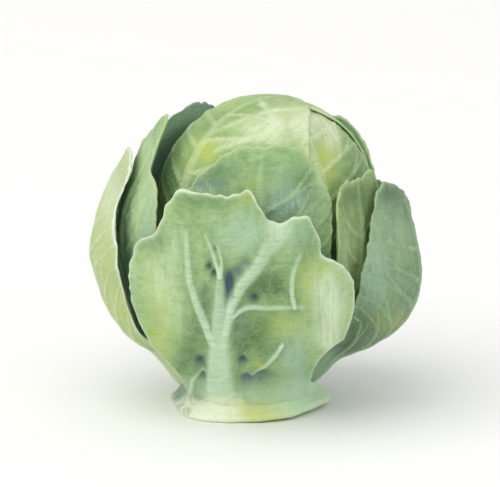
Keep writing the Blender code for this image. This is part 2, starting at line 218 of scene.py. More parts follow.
def front_blade_shape(leaf, s, t):
    """Broad form of the large front leaf, a cup whose outline is drawn as seen from the front."""
    edge = curve_through(FRONT_OUTLINE, s)
    foot_x = (2 * s - 1) * np.where(s < 0.5, *FRONT_FOOT)
    foot_z = FRONT_FOOT_Z + FRONT_FOOT_RISE * foot_x**2
    neck = FRONT_NECKS[0] + (FRONT_NECKS[1] - FRONT_NECKS[0]) * smoothstep(0.6, 1.0, s)
    x = foot_x + (edge[..., 0] - foot_x) * t**neck
    z = foot_z + (edge[..., 1] - foot_z) * t
    profile = curve_through(FRONT_PROFILE, np.linspace(0, 1, 200))
    forward = np.interp(z, profile[:, 1], profile[:, 0])
    opened = smoothstep(3.0, 10.0, z)
    from_middle = x - FRONT_MIDDLE_X * opened
    bend = np.where(from_middle < 0, *FRONT_BENDS)
    bend = FRONT_FOOT_BEND + (bend - FRONT_FOOT_BEND) * opened
    inward = bend * (1 - np.sqrt(1 - (from_middle / bend) ** 2))
    wave = FRONT_WAVE * np.sin(FRONT_HALF_WAVES * math.pi * s + 0.4) + FRONT_CURL
    depth = forward - inward + wave * t**4 * clear_of_the_foot(s)
    return np.stack([x, -depth, z], axis=-1), x, z


def seen_from_the_front(points):
    """(across, up) of each point as the sprout is seen from the front, a little above level."""
    rise = math.radians(VIEW_RISE)
    return points[..., 0], points[..., 2] * math.cos(rise) + points[..., 1] * math.sin(rise)


def near_path(across, up, path, steps=24):
    """(distance from each point to a smooth path, share of the path there)."""
    corners = curve_through(path, np.linspace(0.0, 1.0, steps + 1))
    best = np.full(across.shape, np.inf)
    where = np.zeros(across.shape)
    for number, (start, end) in enumerate(zip(corners[:-1], corners[1:])):
        run = end - start
        part = ((across - start[0]) * run[0] + (up - start[1]) * run[1]) / max(run @ run, 1e-12)
        part = np.clip(part, 0.0, 1.0)
        gap = np.hypot(across - start[0] - part * run[0], up - start[1] - part * run[1])
        closer = gap < best
        best = np.where(closer, gap, best)
        where = np.where(closer, (number + part) / steps, where)
    return best, where


def grown_veins(leaf, length, rng):
    """Midrib and forked side veins of a leaf, as paths (across, along) with their widths and heights."""
    midrib = [(0.0, -1.0), (0.0, length * 0.5), (0.0, length * 0.96)]
    veins = [(midrib, *MIDRIB_WIDTHS, leaf.rib, MIDRIB_TIP)]
    halves = leaf.widths
    if leaf.outline:
        halves = max(-a for a, _ in leaf.outline), max(a for a, _ in leaf.outline)
    for side, half in ((-1, halves[0]), (1, halves[1])):
        for k in range(SIDE_VEINS):
            uneven = 0.02 * side + rng.uniform(-0.012, 0.012)
            start = length * (SIDE_VEIN_FIRST + SIDE_VEIN_STEP * k + uneven)
            rise = length * (SIDE_VEIN_RISE - SIDE_VEIN_LOSS * k)
            mid = (side * half * 0.42, start + rise * 0.42)
            end = (side * half * 1.02, start + rise + length * 0.04)
            veins.append(([(0.0, start), mid, end], 0.50 - 0.04 * k, 0.16, 0.26 - 0.03 * k, 0.04))
            fork = (side * half * 0.75, mid[1] + length * 0.19)
            halfway = ((mid[0] + fork[0]) / 2, mid[1] + length * 0.075)
            veins.append(([mid, halfway, fork], 0.26, 0.12, 0.10, 0.03))
    return veins


def vein_field(across, up, veins):
    """(height of the veins, share of a point that is vein, share that is the hollow beside one).

    A vein is its path, its width at the start and at the end, and its height at the start and at the end.
    """
    height = np.zeros(across.shape)
    share = np.zeros(across.shape)
    beside = np.zeros(across.shape)
    for path, wide, narrow, tall, low in veins:
        gap, along = near_path(across, up, path)
        width = wide + (narrow - wide) * along
        mound = np.exp(-((gap / width) ** (3 if wide > 1 else 2)))
        height = np.maximum(height, (tall + (low - tall) * along) * mound)
        share = np.maximum(share, smoothstep(0.15, 0.85, mound) * (1 - 0.6 * along))
        beside = np.maximum(beside, np.exp(-((gap / (width * 1.6 + 0.8)) ** 2)) * (1 - 0.5 * along))
    return height, share, beside * (1 - share)


def ragged(s, rng):
    """Uneven line round a margin, about 1 high, made of many waves of random phase."""
    total = np.zeros(np.shape(s))
    for k in CRIMP_WAVES:
        total = total + np.sin(2 * math.pi * (k + rng.uniform(-1, 1)) * s + rng.uniform(0, 6.28)) / k**0.8
    return total / CRIMP_SIZE


def run_length(points, axis):
    """Distance travelled along one axis of a grid of points, from its start."""
    step = np.linalg.norm(np.diff(points, axis=axis), axis=-1)
    start = np.zeros_like(np.take(step, [0], axis=axis))
    return np.cumsum(np.concatenate([start, step], axis=axis), axis=axis)


def grid_normals(points):
    """Unit normals of a grid of points (rows from foot to margin, columns round the leaf)."""
    along = np.gradient(points, axis=0)
    round_it = np.gradient(points, axis=1)
    normal = np.cross(round_it, along)
    size = np.linalg.norm(normal, axis=-1, keepdims=True)
    return normal / np.maximum(size, 1e-9)


def patch_strength(across, up, patches, facing):
    """Sum of the soft patches of one kind, each (across, up, half width, half height, strength)."""
    total = np.zeros(across.shape)
    for x, h, wide, tall, strength in patches:
        total += strength * np.exp(-(((across - x) / wide) ** 2) - ((up - h) / tall) ** 2)
    return np.clip(total * facing, 0.0, 1.0)


def closed_blade(name, outer, inner, attributes):
    """Joins a leaf's outer and inner grids into one closed mesh with a rounded rim."""
    rows, columns = outer.shape[:2]
    ring = (
        [(0, c) for c in range(columns)]
        + [(r, columns - 1) for r in range(1, rows)]
        + [(rows - 1, c) for c in range(columns - 2, -1, -1)]
        + [(r, 0) for r in range(rows - 2, 0, -1)]
    )
    count = rows * columns
    index = np.arange(count).reshape(rows, columns)
    quads = np.stack([index[:-1, :-1], index[:-1, 1:], index[1:, 1:], index[1:, :-1]], axis=-1)
    quads = quads.reshape(-1, 4)
    ring_index = np.array([index[r, c] for r, c in ring])
    inward = [(min(max(r, 1), rows - 2), min(max(c, 1), columns - 2)) for r, c in ring]
    outer_ring = np.array([outer[p] for p in ring])
    inner_ring = np.array([inner[p] for p in ring])
    inside = np.array([outer[p] + inner[p] for p in inward]) / 2
    middle = (outer_ring + inner_ring) / 2
    away = middle - inside
    away /= np.maximum(np.linalg.norm(away, axis=-1, keepdims=True), 1e-9)
    half = np.linalg.norm(outer_ring - inner_ring, axis=-1, keepdims=True) / 2
    rim = middle + away * half * 0.8

    points = np.concatenate([outer.reshape(-1, 3), inner.reshape(-1, 3), rim])
    nexts = np.roll(np.arange(len(ring)), -1)
    here = np.arange(len(ring))
    rim_index = 2 * count + here
    outer_strip = np.stack([ring_index[nexts], ring_index[here], rim_index, rim_index[nexts]], axis=-1)
    inner_strip = np.stack(
        [rim_index[nexts], rim_index, ring_index[here] + count, ring_index[nexts] + count], axis=-1
    )
    faces = np.concatenate([quads, quads[:, ::-1] + count, outer_strip, inner_strip])

    mesh = bpy.data.meshes.new(name)
    mesh.from_pydata((points * MM).tolist(), [], faces.tolist())
    for label, (on_outer, on_inner) in attributes.items():
        values = np.concatenate([on_outer.ravel(), on_inner.ravel(), on_outer.reshape(-1)[ring_index]])
        made = mesh.attributes.new(label, "FLOAT", "POINT")
        made.data.foreach_set("value", values.astype(np.float32))
    mesh.shade_smooth()
    turn_faces_out(mesh)
    return mesh


def turn_faces_out(mesh):
    """Flips the mesh if its faces point inwards, which its signed volume shows."""
    mesh.calc_loop_triangles()
    corners = np.zeros(len(mesh.loop_triangles) * 3, np.int32)
    mesh.loop_triangles.foreach_get("vertices", corners)
    points = np.zeros(len(mesh.vertices) * 3, np.float32)
    mesh.vertices.foreach_get("co", points)
    a, b, c = np.moveaxis(points.reshape(-1, 3)[corners.reshape(-1, 3)].astype(float), 1, 0)
    if np.einsum("ij,ij->i", a, np.cross(b, c)).sum() < 0:
        mesh.flip_normals()


def leaf_mesh(leaf, number, shape=blade_shape):
    """A leaf as a closed mesh: broad form, veins, cushions between them, thin rolled rim and sunk foot."""
    rng = np.random.default_rng(number)
    s, t = np.meshgrid(np.linspace(0, 1, leaf.columns), np.linspace(0, 1, leaf.rows))
    base, across, along = shape(leaf, s, t)
    normal = grid_normals(base)
    middle = base.mean(axis=(0, 1))
    growth_axis = np.array([lean(middle[2], leaf.lean), 0.0, middle[2]])
    if np.sum(normal * (middle - growth_axis)) < 0:
        normal = -normal

    from_foot = run_length(base, 0)
    to_margin = from_foot[-1:] - from_foot
    round_it = run_length(base, 1)
    side = np.minimum(round_it, round_it[:, -1:] - round_it)
    edge = np.minimum(to_margin, side)

    seen_across, seen_up = seen_from_the_front(base)
    if leaf.drawn_veins:
        height, vein, hollow = vein_field(seen_across, seen_up, leaf.drawn_veins)
        height = height * smoothstep(-0.5, 2.5, seen_up)
    else:
        height, vein, hollow = vein_field(across, along, grown_veins(leaf, along.max(), rng))
    facing = smoothstep(0.2, -0.1, normal[..., 1]) if leaf.patches else np.ones(s.shape)
    kinds = {
        kind: patch_strength(seen_across, seen_up, leaf.patches.get(kind, ()), facing)
        for kind in ("shade", "yellow", "bloom", "pit", "light")
    }
    inside = smoothstep(0.3, 3.0, edge)
    relief = height * (0.25 + 0.75 * inside) - HOLLOW_DEPTH * hollow * inside
    relief = relief - PIT_DEPTH * kinds["pit"] - SHADE_DEPTH * kinds["shade"] * inside
    cushion = CUSHION_HEIGHT * np.sin(across * 2.1 + 0.7 * along) * np.sin(along * 1.7 - 0.5 * across)
    relief = relief + cushion * inside
    free = clear_of_the_foot(s) * t**2
    margin = smoothstep(CRIMP_WIDTH, 0.0, edge) * free
    relief = relief + ROLL_HEIGHT * smoothstep(ROLL_WIDTH, 0.0, edge) * free
    relief = relief + leaf.crinkle * ragged(s, rng) * margin
    spread = np.gradient(base, axis=0)
    spread /= np.maximum(np.linalg.norm(spread, axis=-1, keepdims=True), 1e-9)
    base = base + spread * (CRIMP_SPREAD * leaf.crinkle * ragged(s, rng) * margin)[..., None]
    foot = smoothstep(FOOT_REACH, 0.0, from_foot)
    outwards = base - np.stack([lean(base[..., 2], leaf.lean), 0 * t, base[..., 2]], axis=-1)
    outwards /= np.linalg.norm(outwards, axis=-1, keepdims=True)
    drop = FOOT_DROP * smoothstep(0.8, 5.0, base[..., 2:])
    sink = foot[..., None] * (FOOT_SINK * outwards + drop * np.array([0.0, 0.0, 1.0])) if leaf.lean else 0.0

    thickness = RIM_THICKNESS + (BLADE_THICKNESS - RIM_THICKNESS) * smoothstep(0.0, RIM_WIDTH, edge)
    outer = base + normal * relief[..., None] - sink
    inner = base - normal * (thickness - INNER_RELIEF * relief * inside)[..., None] - sink
    rim = np.exp(-edge / RIM_FADE) * smoothstep(0.05, 0.3, t)
    pale_foot = smoothstep(FOOT_PALE, 0.0, from_foot)
    zero = np.zeros(s.shape)
    attributes = {
        "vein": (vein, vein * 0.6),
        # painted shade in the hollows beside the veins
        "hollow": (hollow * inside, zero),
        "rim": (rim, rim),
        "shade": (kinds["shade"], zero),
        "pit": (kinds["pit"], zero),
        "yellow": (kinds["yellow"], zero),
        "bloom": (kinds["bloom"], zero),
        "light": (kinds["light"], zero),
        "foot": (pale_foot, pale_foot),
        "inner_face": (zero, zero + 1.0),
        "across_blade": (across, across),
        "along_blade": (along, along),
    }
    return closed_blade(leaf.name, outer, inner, attributes)


# The loose outer leaves, which leave the stem lowest, then the inner leaves, which hug the head. The
# distances in an outline and in patches are (to the right of the midrib or of the stem, height).
LEFT_OUTER = Leaf(
    "left_outer_leaf", 178.0,
    [(8.2, 4.0), (11.3, 6.3), (15.7, 9.3), (19.9, 14.8), (21.2, 18.9), (20.7, 22.0), (19.5, 26.1),
     (16.2, 31.2)],
    (4.6, 5.2), 17.0, phase=0.6, waves=3.0, finish="pale_leaf",
    outline=(
        (-9.6, 12.0), (-10.2, 17.0), (-9.8, 22.0), (-8.0, 26.5), (-4.5, 30.0), (0.0, 31.1),
        (5.0, 30.2), (9.0, 26.2), (11.5, 20.8), (11.2, 15.4), (10.0, 11.2),
    ),
    patches={
        "light": ((-16.8, 24.6, 1.6, 4.0, 0.5),),
        "yellow": ((-17.4, 19.6, 1.0, 5.0, 0.5), (-15.4, 11.0, 2.0, 5.0, 0.6)),
        "shade": ((-11.6, 6.6, 2.0, 1.0, 0.5),),
    },
)
RIGHT_OUTER = Leaf(
    "right_outer_leaf", 350.0,
    [(8.2, 5.0), (11.3, 6.6), (14.6, 8.2), (17.2, 10.6), (18.3, 13.8), (18.4, 17.4), (17.8, 21.0),
     (17.0, 24.0), (16.1, 26.8), (15.0, 29.2)],
    (5.4, 3.4), 10.2, phase=2.2, waves=3.0, wave=0.15, curl=0.15, finish="blue_green_leaf",
    outline=(
        (-11.1, 8.8), (-11.7, 11.0), (-11.8, 13.8), (-11.5, 18.0), (-9.7, 23.0), (-7.2, 26.8), (-5.6, 28.3),
        (-3.2, 29.0), (-0.8, 27.4), (2.0, 25.0), (4.8, 22.4), (6.6, 19.4), (7.2, 15.5), (6.6, 12.0),
    ),
    patches={
        "bloom": ((15.2, 17.0, 1.6, 5.0, 0.9), (9.4, 5.4, 1.6, 1.2, 0.5)),
        "light": (
            (17.9, 18.6, 0.7, 3.6, 0.7), (16.6, 13.0, 1.4, 1.8, 0.4), (15.6, 20.0, 1.6, 3.6, 0.6),
            (19.2, 18.6, 0.8, 3.0, 0.4),
        ),
        "shade": ((13.6, 9.4, 3.8, 3.0, 1.0), (10.6, 5.6, 3.8, 2.4, 1.0), (16.0, 25.4, 3.0, 2.0, 0.9)),
        "yellow": ((17.0, 9.6, 2.4, 1.6, 0.5),),
    },
)
BACK_LEFT_OUTER = Leaf(
    "back_left_outer_leaf", 114.0,
    [(8.5, 3.0), (12.2, 5.0), (16.2, 8.6), (18.9, 13.5), (19.7, 18.5), (19.3, 23.5), (18.2, 27.2),
     (16.8, 30.0)],
    (4.4, 4.4), 17.5, widths=(13.0, 11.3), phase=1.1, waves=4.5, finish="blue_green_leaf",
)
BACK_RIGHT_OUTER = Leaf(
    "back_right_outer_leaf", 46.0,
    [(8.4, 3.8), (11.6, 6.4), (15.2, 10.2), (17.6, 15.0), (18.3, 19.2), (17.8, 22.6), (17.0, 25.0)],
    (3.5, 4.2), 16.6, widths=(8.6, 9.6), tilt=(0.1, -0.1), phase=3.0, waves=4.0, finish="blue_green_leaf",
)
LEFT_INNER = Leaf(
    "left_inner_leaf", 193.0,
    [(7.9, 6.2), (11.4, 9.2), (15.4, 13.4), (17.7, 18.6), (17.8, 24.0), (15.5, 29.8), (13.8, 33.2),
     (12.0, 36.0)],
    (3.6, 3.6), 16.5, phase=0.2, waves=3.5, wave=0.2, finish="inner_leaf",
    outline=(
        (-6.8, 15.0), (-7.8, 20.0), (-7.6, 25.0), (-6.4, 29.5), (-4.0, 33.2), (-0.8, 35.9),
        (1.1, 34.2), (2.4, 32.3), (3.4, 30.7), (6.1, 29.4), (8.2, 26.8), (8.8, 22.5), (8.9, 18.0),
        (7.4, 12.6),
    ),
    patches={
        "light": (
            (-12.4, 29.0, 1.6, 5.0, 0.8), (-13.6, 22.6, 1.0, 3.4, 0.7), (-14.4, 20.6, 1.4, 3.0, 0.5),
            (-13.2, 25.4, 1.6, 3.0, 0.5),
        ),
        "bloom": ((-13.6, 22.4, 2.8, 8.0, 1.0), (-13.2, 17.6, 2.2, 3.6, 0.9)),
        "yellow": ((-11.4, 23.0, 0.8, 4.0, 0.5),),
        "shade": ((-15.0, 17.6, 0.8, 3.0, 0.5), (-13.0, 13.0, 3.0, 2.4, 0.6)),
    },
)
BACK_LEFT_INNER = Leaf(
    "back_left_inner_leaf", 140.0,
    [(7.9, 6.6), (11.0, 10.2), (14.1, 15.0), (15.4, 20.5), (15.4, 26.5), (13.8, 31.2), (11.1, 35.6)],
    (3.6, 3.6), 15.2, phase=4.0, waves=4.0, finish="dark_leaf",
    outline=(
        (-8.0, 16.0), (-9.6, 21.0), (-9.4, 26.0), (-7.8, 30.5), (-5.2, 33.6), (-2.5, 34.8), (0.5, 35.3),
        (4.0, 35.1), (6.5, 33.8), (8.0, 31.0), (8.8, 27.0), (9.0, 22.0), (8.0, 16.0),
    ),
)
BACK_RIGHT_INNER = Leaf(
    "back_right_inner_leaf", 62.0,
    [(7.9, 6.4), (11.0, 10.2), (13.7, 15.0), (14.8, 20.5), (14.8, 26.0), (13.2, 31.2), (10.6, 34.4)],
    (3.6, 3.6), 15.0, widths=(8.8, 10.0), tilt=(0.09, 0.0), phase=5.0, waves=4.0, finish="inner_leaf",
)
RIGHT_INNER = Leaf(
    "right_inner_leaf", 322.0,
    [(7.6, 8.0), (10.9, 11.0), (13.4, 14.8), (14.3, 19.5), (14.4, 24.0), (14.0, 27.3), (13.3, 30.5)],
    (3.6, 3.6), 15.0, tilt=(0.41, 0.0), phase=1.6, waves=3.5, wave=0.1, curl=0.0, finish="shaded_leaf",
    outline=(
        (-5.1, 15.9), (-5.6, 20.0), (-5.7, 24.0), (-5.5, 27.0), (-4.4, 29.0), (-1.9, 29.8),
        (0.4, 29.7), (3.2, 30.2), (4.2, 28.0), (5.2, 24.5), (6.1, 20.0), (6.2, 15.5),
    ),
    patches={
        "shade": ((13.4, 24.8, 0.9, 3.0, 0.7), (11.6, 25.0, 1.6, 1.8, 0.8)),
        "yellow": ((10.2, 27.0, 1.2, 1.0, 0.6), (12.0, 19.0, 2.0, 2.4, 0.25)),
        "light": ((9.6, 27.6, 1.0, 0.8, 0.5),),
        "bloom": ((12.4, 18.4, 2.0, 3.0, 0.3),),
    },
)
FRONT_INNER = Leaf(
    "front_inner_leaf", 266.0,
    [(7.7, 7.6), (10.6, 11.2), (13.2, 16.0), (14.4, 21.0), (14.45, 26.0), (13.4, 31.0), (10.9, 34.5)],
    (3.6, 3.6), 14.4, phase=0.9, waves=3.5, wave=0.1, curl=0.1, finish="inner_leaf",
    outline=(
        (-9.2, 15.5), (-10.8, 20.0), (-11.0, 25.0), (-10.4, 28.5), (-8.7, 30.9), (-6.2, 32.8),
        (-0.4, 34.4), (5.4, 33.8), (7.9, 30.7), (8.7, 28.6), (8.9, 25.0), (8.7, 20.0), (7.8, 15.0),
    ),
    # Its pit and shade patches across its middle, with its bloom patches, paint the bluish shadow that the
    # front leaf's top margin casts on it.
    patches={
        "pit": ((2.6, 22.4, 3.4, 0.8, 0.2), (-5.4, 26.0, 2.4, 0.8, 0.35)),
        "shade": (
            (6.4, 26.0, 1.8, 2.6, 0.7), (4.0, 23.4, 3.0, 2.0, 0.45), (-4.6, 27.8, 3.0, 1.4, 0.9),
            (-9.4, 25.0, 1.6, 3.0, 0.8),
        ),
        "bloom": ((4.2, 23.6, 3.4, 2.2, 1.0), (-6.0, 26.2, 2.6, 1.0, 0.8)),
        "yellow": ((0.6, 26.0, 1.6, 1.2, 0.6),),
        "light": ((8.4, 27.0, 0.5, 2.0, 0.7),),
    },
)
FRONT = Leaf(
    "front_leaf", 266.0, [(0, 0), (0, 1)], (0, 0), 16.0, rib=1.1, crinkle=0.2, columns=300, rows=150,
    finish="veined_leaf",
    drawn_veins=(
        ([(-3.4, 0.0), (-3.6, 4.8), (-3.5, 8.5), (-3.5, 12.2), (-3.5, 15.7)], 2.0, 0.4, 0.8, 0.25),
        ([(-3.5, 15.3), (-4.4, 18.2), (-5.2, 20.2)], 0.32, 0.16, 0.16, 0.03),
        ([(-3.4, 15.3), (-3.3, 17.2), (-3.8, 19.0)], 0.28, 0.14, 0.14, 0.03),
        ([(-4.4, 7.6), (-5.6, 10.4), (-6.5, 12.9), (-7.1, 15.1), (-7.3, 17.0), (-7.5, 20.4)],
         0.6, 0.3, 0.32, 0.04),
        ([(-2.8, 8.7), (-2.1, 12.0), (-1.0, 14.2), (0.1, 15.5), (1.0, 16.6), (1.9, 18.2), (3.5, 20.1),
          (4.4, 22.0)], 0.55, 1.15, 0.55, 0.22),
        ([(-2.1, 10.4), (-0.9, 11.4), (2.5, 11.6), (6.3, 11.7)], 0.34, 0.28, 0.24, 0.12),
        ([(5.3, 11.7), (5.0, 13.8), (5.2, 15.8), (6.0, 17.8)], 0.32, 0.3, 0.22, 0.06),
        ([(3.9, 7.2), (2.9, 5.7), (1.2, 4.1), (0.2, 3.4)], 0.26, 0.3, 0.18, 0.26),
        ([(-7.6, 2.0), (-6.5, 3.2), (-5.5, 4.1)], 0.28, 0.3, 0.2, 0.2),
    ),
    patches={
        # pits of painted shade, each also sunk into the blade
        "pit": (
            (-6.0, 5.0, 0.6, 0.7, 0.9), (-5.7, 3.4, 0.5, 0.6, 0.7), (-0.8, 5.1, 0.55, 0.55, 0.9),
            (-0.3, 2.8, 0.8, 0.7, 1.0), (1.6, 3.4, 1.1, 0.7, 0.5), (-4.9, 16.5, 0.32, 0.55, 0.8),
            (-4.3, 15.7, 0.3, 0.5, 0.8), (-4.2, 18.5, 0.25, 0.5, 0.4), (-2.35, 13.5, 0.55, 1.2, 1.0),
            (-2.4, 15.0, 0.55, 1.0, 0.9), (-1.4, 15.9, 0.8, 0.8, 0.6), (-0.4, 17.0, 0.9, 0.7, 0.4),
            (0.6, 12.6, 0.55, 0.4, 0.8), (-5.2, 13.6, 0.4, 0.7, 0.3),
        ),
        "shade": (
            (1.6, 14.2, 1.5, 1.5, 1.0), (3.2, 14.4, 1.4, 1.7, 1.0), (0.2, 13.2, 0.9, 1.0, 0.7),
            (-1.2, 9.4, 0.8, 1.8, 0.9), (-1.1, 7.0, 0.8, 1.6, 1.0), (0.7, 8.2, 1.6, 1.5, 0.7),
            (1.6, 3.0, 1.6, 1.1, 0.9), (-5.3, 12.0, 0.7, 2.2, 0.75), (-6.6, 8.6, 1.4, 2.0, 0.7),
            (-7.4, 6.0, 1.6, 1.8, 0.7), (-8.4, 4.0, 1.4, 1.6, 0.6), (-6.8, 2.0, 1.1, 0.9, 0.7),
            (7.0, 2.9, 1.0, 1.4, 0.4), (-11.4, 19.4, 2.2, 1.6, 0.7), (-6.0, 24.3, 2.4, 1.2, 0.6),
            (-2.4, 24.4, 2.5, 0.9, 0.5), (7.0, 19.6, 1.6, 2.6, 0.6), (-7.0, 21.8, 1.6, 1.6, 0.3),
            (1.5, 9.5, 2.2, 1.4, 0.8), (1.2, 6.4, 2.0, 1.6, 0.5),
        ),
        "bloom": (
            (-0.6, 20.6, 3.2, 2.6, 0.9), (5.8, 20.0, 1.8, 2.2, 0.6), (5.4, 5.6, 1.7, 3.4, 0.9),
            (6.4, 2.4, 2.0, 1.4, 0.6),
        ),
        "light": (
            (6.2, 1.2, 1.8, 1.0, 0.8), (9.4, 13.6, 2.0, 2.4, 1.0), (9.6, 10.4, 1.6, 1.8, 0.7),
            (9.4, 7.8, 1.5, 1.6, 1.0), (-8.4, 19.6, 1.4, 2.0, 0.3), (-10.4, 15.4, 2.4, 3.0, 0.5),
            (-9.0, 11.0, 1.6, 3.0, 0.3), (3.2, 20.8, 1.5, 1.4, 0.7), (3.4, 22.2, 1.0, 0.7, 0.6),
            (-3.2, 6.0, 1.0, 5.0, 0.4),
        ),
        "yellow": (
            (-11.0, 12.0, 1.9, 4.0, 0.7), (-10.5, 7.5, 1.5, 1.8, 0.6), (6.9, 14.8, 1.5, 3.0, 0.6),
            (4.4, 9.4, 2.6, 1.6, 0.6), (1.1, 4.7, 0.6, 0.5, 0.9), (9.0, 15.6, 1.6, 1.2, 0.6),
            (-0.3, 24.4, 2.0, 0.8, 0.8),
        ),
    },
)
HEAD_ARC = [math.radians(turn) for turn in range(38, 191, 19)]  # from near the foot to past the top
HEAD_LEAF = Leaf(
    "wrapped_blade", 0.0,
    [(HEAD_RADIUS * math.sin(turn), -HEAD_RADIUS * math.cos(turn)) for turn in HEAD_ARC],
    (5.0, 5.0), HEAD_RADIUS, foot_bend=HEAD_RADIUS, widths=(14.0, 14.0), widest=0.6, shoulder=0.9,
    waves=3.5, wave=0.1, curl=0.12, rib=0.3, crinkle=0.05, lean=0.0, columns=110, rows=72,
)
HEAD_TIPS = (-40.0, -14.0, 0.0, 10.0, -4.0, 6.0)  # how much further over the top each wrapped leaf reaches
HEAD_FIRST_AZIMUTH = 250.0
HEAD_STEP = 0.24  # each wrapped leaf stands this much further out than the last
HEAD_VEIN, HEAD_RIM = 0.6, 0.3  # shares of the wrapped leaves' own veins and pale rims that show
HEAD_TURNED_AWAY = (0.12, 0.36)  # the streaks fade where the head turns away from the front
HEAD_PATCHES = {
    "yellow": (
        (-5.3, 30.7, 1.8, 1.3, 1.0), (-4.9, 29.2, 1.0, 0.8, 0.6), (9.2, 29.8, 1.2, 2.6, 1.0),
        (9.0, 27.0, 0.9, 1.4, 0.8), (-7.6, 28.6, 1.0, 1.4, 0.4),
    ),
    "light": (
        (3.2, 32.8, 1.3, 2.6, 0.8), (1.2, 33.1, 2.2, 1.3, 0.9), (7.2, 33.8, 1.8, 1.8, 1.0),
        (5.4, 33.4, 1.2, 1.2, 0.6), (9.8, 32.8, 0.9, 2.4, 0.9), (-0.6, 31.3, 3.2, 0.6, 0.6),
        (6.8, 32.0, 1.2, 1.6, 0.5),
    ),
    "shade": (
        (-9.6, 30.0, 2.2, 3.4, 0.9), (-8.6, 26.0, 2.2, 3.0, 0.9), (13.4, 29.5, 1.8, 3.8, 1.0),
        (12.4, 25.0, 2.6, 3.0, 0.9), (-3.0, 34.6, 3.0, 1.0, 0.4), (-6.4, 32.8, 2.0, 1.0, 0.4),
        (1.4, 35.6, 2.4, 0.9, 0.4), (-4.4, 32.8, 1.8, 1.2, 0.4), (-5.0, 30.4, 2.4, 1.4, 0.3),
    ),
    "bloom": ((9.6, 33.6, 1.0, 2.0, 0.6),),
}
HEAD_STREAKS = (  # pale veins on the face of the head, as seen from the front
    ([(8.7, 34.9), (7.0, 33.6), (5.7, 32.2), (4.4, 31.3)], 0.6, 0.4, 0.16, 0.06),
    ([(1.5, 36.0), (2.6, 34.2), (2.8, 32.4), (3.4, 30.2)], 0.4, 0.35, 0.14, 0.06),
    ([(8.0, 35.5), (9.2, 34.1), (10.3, 32.2), (10.7, 30.5)], 0.6, 0.35, 0.16, 0.06),
    ([(2.6, 32.4), (0.0, 31.7), (-2.4, 30.9), (-4.1, 30.2)], 0.45, 0.3, 0.14, 0.05),
    ([(7.2, 34.8), (6.8, 32.5), (6.0, 30.8)], 0.4, 0.3, 0.12, 0.05),
    ([(6.1, 35.3), (2.5, 35.0), (-1.1, 33.8), (-4.6, 32.4)], 0.3, 0.25, 0.08, 0.03),
    ([(6.9, 30.2), (7.9, 28.2), (8.8, 26.0)], 0.35, 0.3, 0.12, 0.05),
)

# Colours of each leaf finish: lit blade, blade, deep blade (also the colour of the painted shade), veins and
# rim.
TONES = {
    "veined_leaf": (
        (0.38, 0.55, 0.23), (0.24, 0.40, 0.15), (0.09, 0.19, 0.06), (0.62, 0.80, 0.60), (0.68, 0.79, 0.57),
    ),
    # the left outer leaf: partly its own paler yellow-green and partly painted light, as the light falls on
    # it from the left
    "pale_leaf": (
        (0.50, 0.61, 0.30), (0.40, 0.53, 0.22), (0.26, 0.38, 0.13), (0.60, 0.71, 0.44), (0.80, 0.86, 0.70),
    ),
    "blue_green_leaf": (
        (0.27, 0.42, 0.23), (0.17, 0.29, 0.14), (0.07, 0.13, 0.06), (0.34, 0.50, 0.30), (0.36, 0.50, 0.28),
    ),
    "inner_leaf": (
        (0.36, 0.53, 0.24), (0.23, 0.39, 0.15), (0.09, 0.19, 0.08), (0.42, 0.58, 0.30), (0.48, 0.62, 0.32),
    ),
    # the leaf behind the head at the left: darker and bluer than the inner leaves, painted shade for the
    # shade the head casts on it
    "dark_leaf": (
        (0.27, 0.42, 0.26), (0.17, 0.29, 0.18), (0.08, 0.14, 0.10), (0.36, 0.52, 0.36), (0.26, 0.37, 0.33),
    ),
    "shaded_leaf": (
        (0.36, 0.50, 0.21), (0.27, 0.40, 0.17), (0.12, 0.20, 0.08), (0.38, 0.52, 0.24), (0.42, 0.56, 0.25),
    ),
    "head_leaf": (
        (0.45, 0.60, 0.23), (0.31, 0.48, 0.16), (0.14, 0.27, 0.09), (0.70, 0.80, 0.50), (0.72, 0.82, 0.56),
    ),
}
INNER_FACE = (0.44, 0.60, 0.50)  # of the loose leaves, the side towards the head
YELLOW = (0.50, 0.57, 0.08)
BLOOM = (0.36, 0.54, 0.42)
# dark slate of the painted shade in the pits between the ridges
PIT_SHADE = (0.08, 0.115, 0.18)
CREAM = (0.82, 0.88, 0.68)
# the neck's green, darker at the left as painted shade and lighter at the right as painted light
NECK_SHADED_LEFT = (0.22, 0.33, 0.23)
NECK_LIT_RIGHT = (0.58, 0.78, 0.52)
BUTT_YELLOW = (0.62, 0.68, 0.22)
BUTT_GREEN = (0.60, 0.78, 0.54)
BUTT_HEIGHT = 2.9  # the cut butt's colour reaches this high in front, and less high at the sides
BUTT_MIDDLE_X = -1.5
BUTT_ROUNDING = 0.042
BUTT_BLEND = 0.8  # half the height over which its colour blends into the neck's
BUTT_YELLOW_FROM_TO = (-4.6, 1.4)  # across, where cream turns to yellow
BUTT_GREEN_FROM_TO = (0.8, 6.4)  # and yellow to green
NECK_FROM_TO = (-6.0, 4.0)  # where the neck's painted shade at the left turns to its painted light at the right
CUT_RING = (0.52, 0.62, 0.30)
STEM_SPECKS = (0.40, 0.46, 0.24)
STRAND_COLOURS = (0.74, 0.80, 0.56), (0.56, 0.66, 0.36)


def add_node(tree, kind, inputs=None, **settings):
    """A node with its settings and inputs filled in. An input is a value or another node's output."""
    node = tree.nodes.new(kind)
    for key, value in settings.items():
        setattr(node, key, value)
    for key, value in (inputs or {}).items():
        if isinstance(value, bpy.types.NodeSocket):
            tree.links.new(value, node.inputs[key])
        else:
            node.inputs[key].default_value = value
    return node


def calc(tree, operation, a, b=0.0, clamp=False):
    """Result of a Math node."""
    return add_node(tree, "ShaderNodeMath", {0: a, 1: b}, operation=operation, use_clamp=clamp).outputs[0]


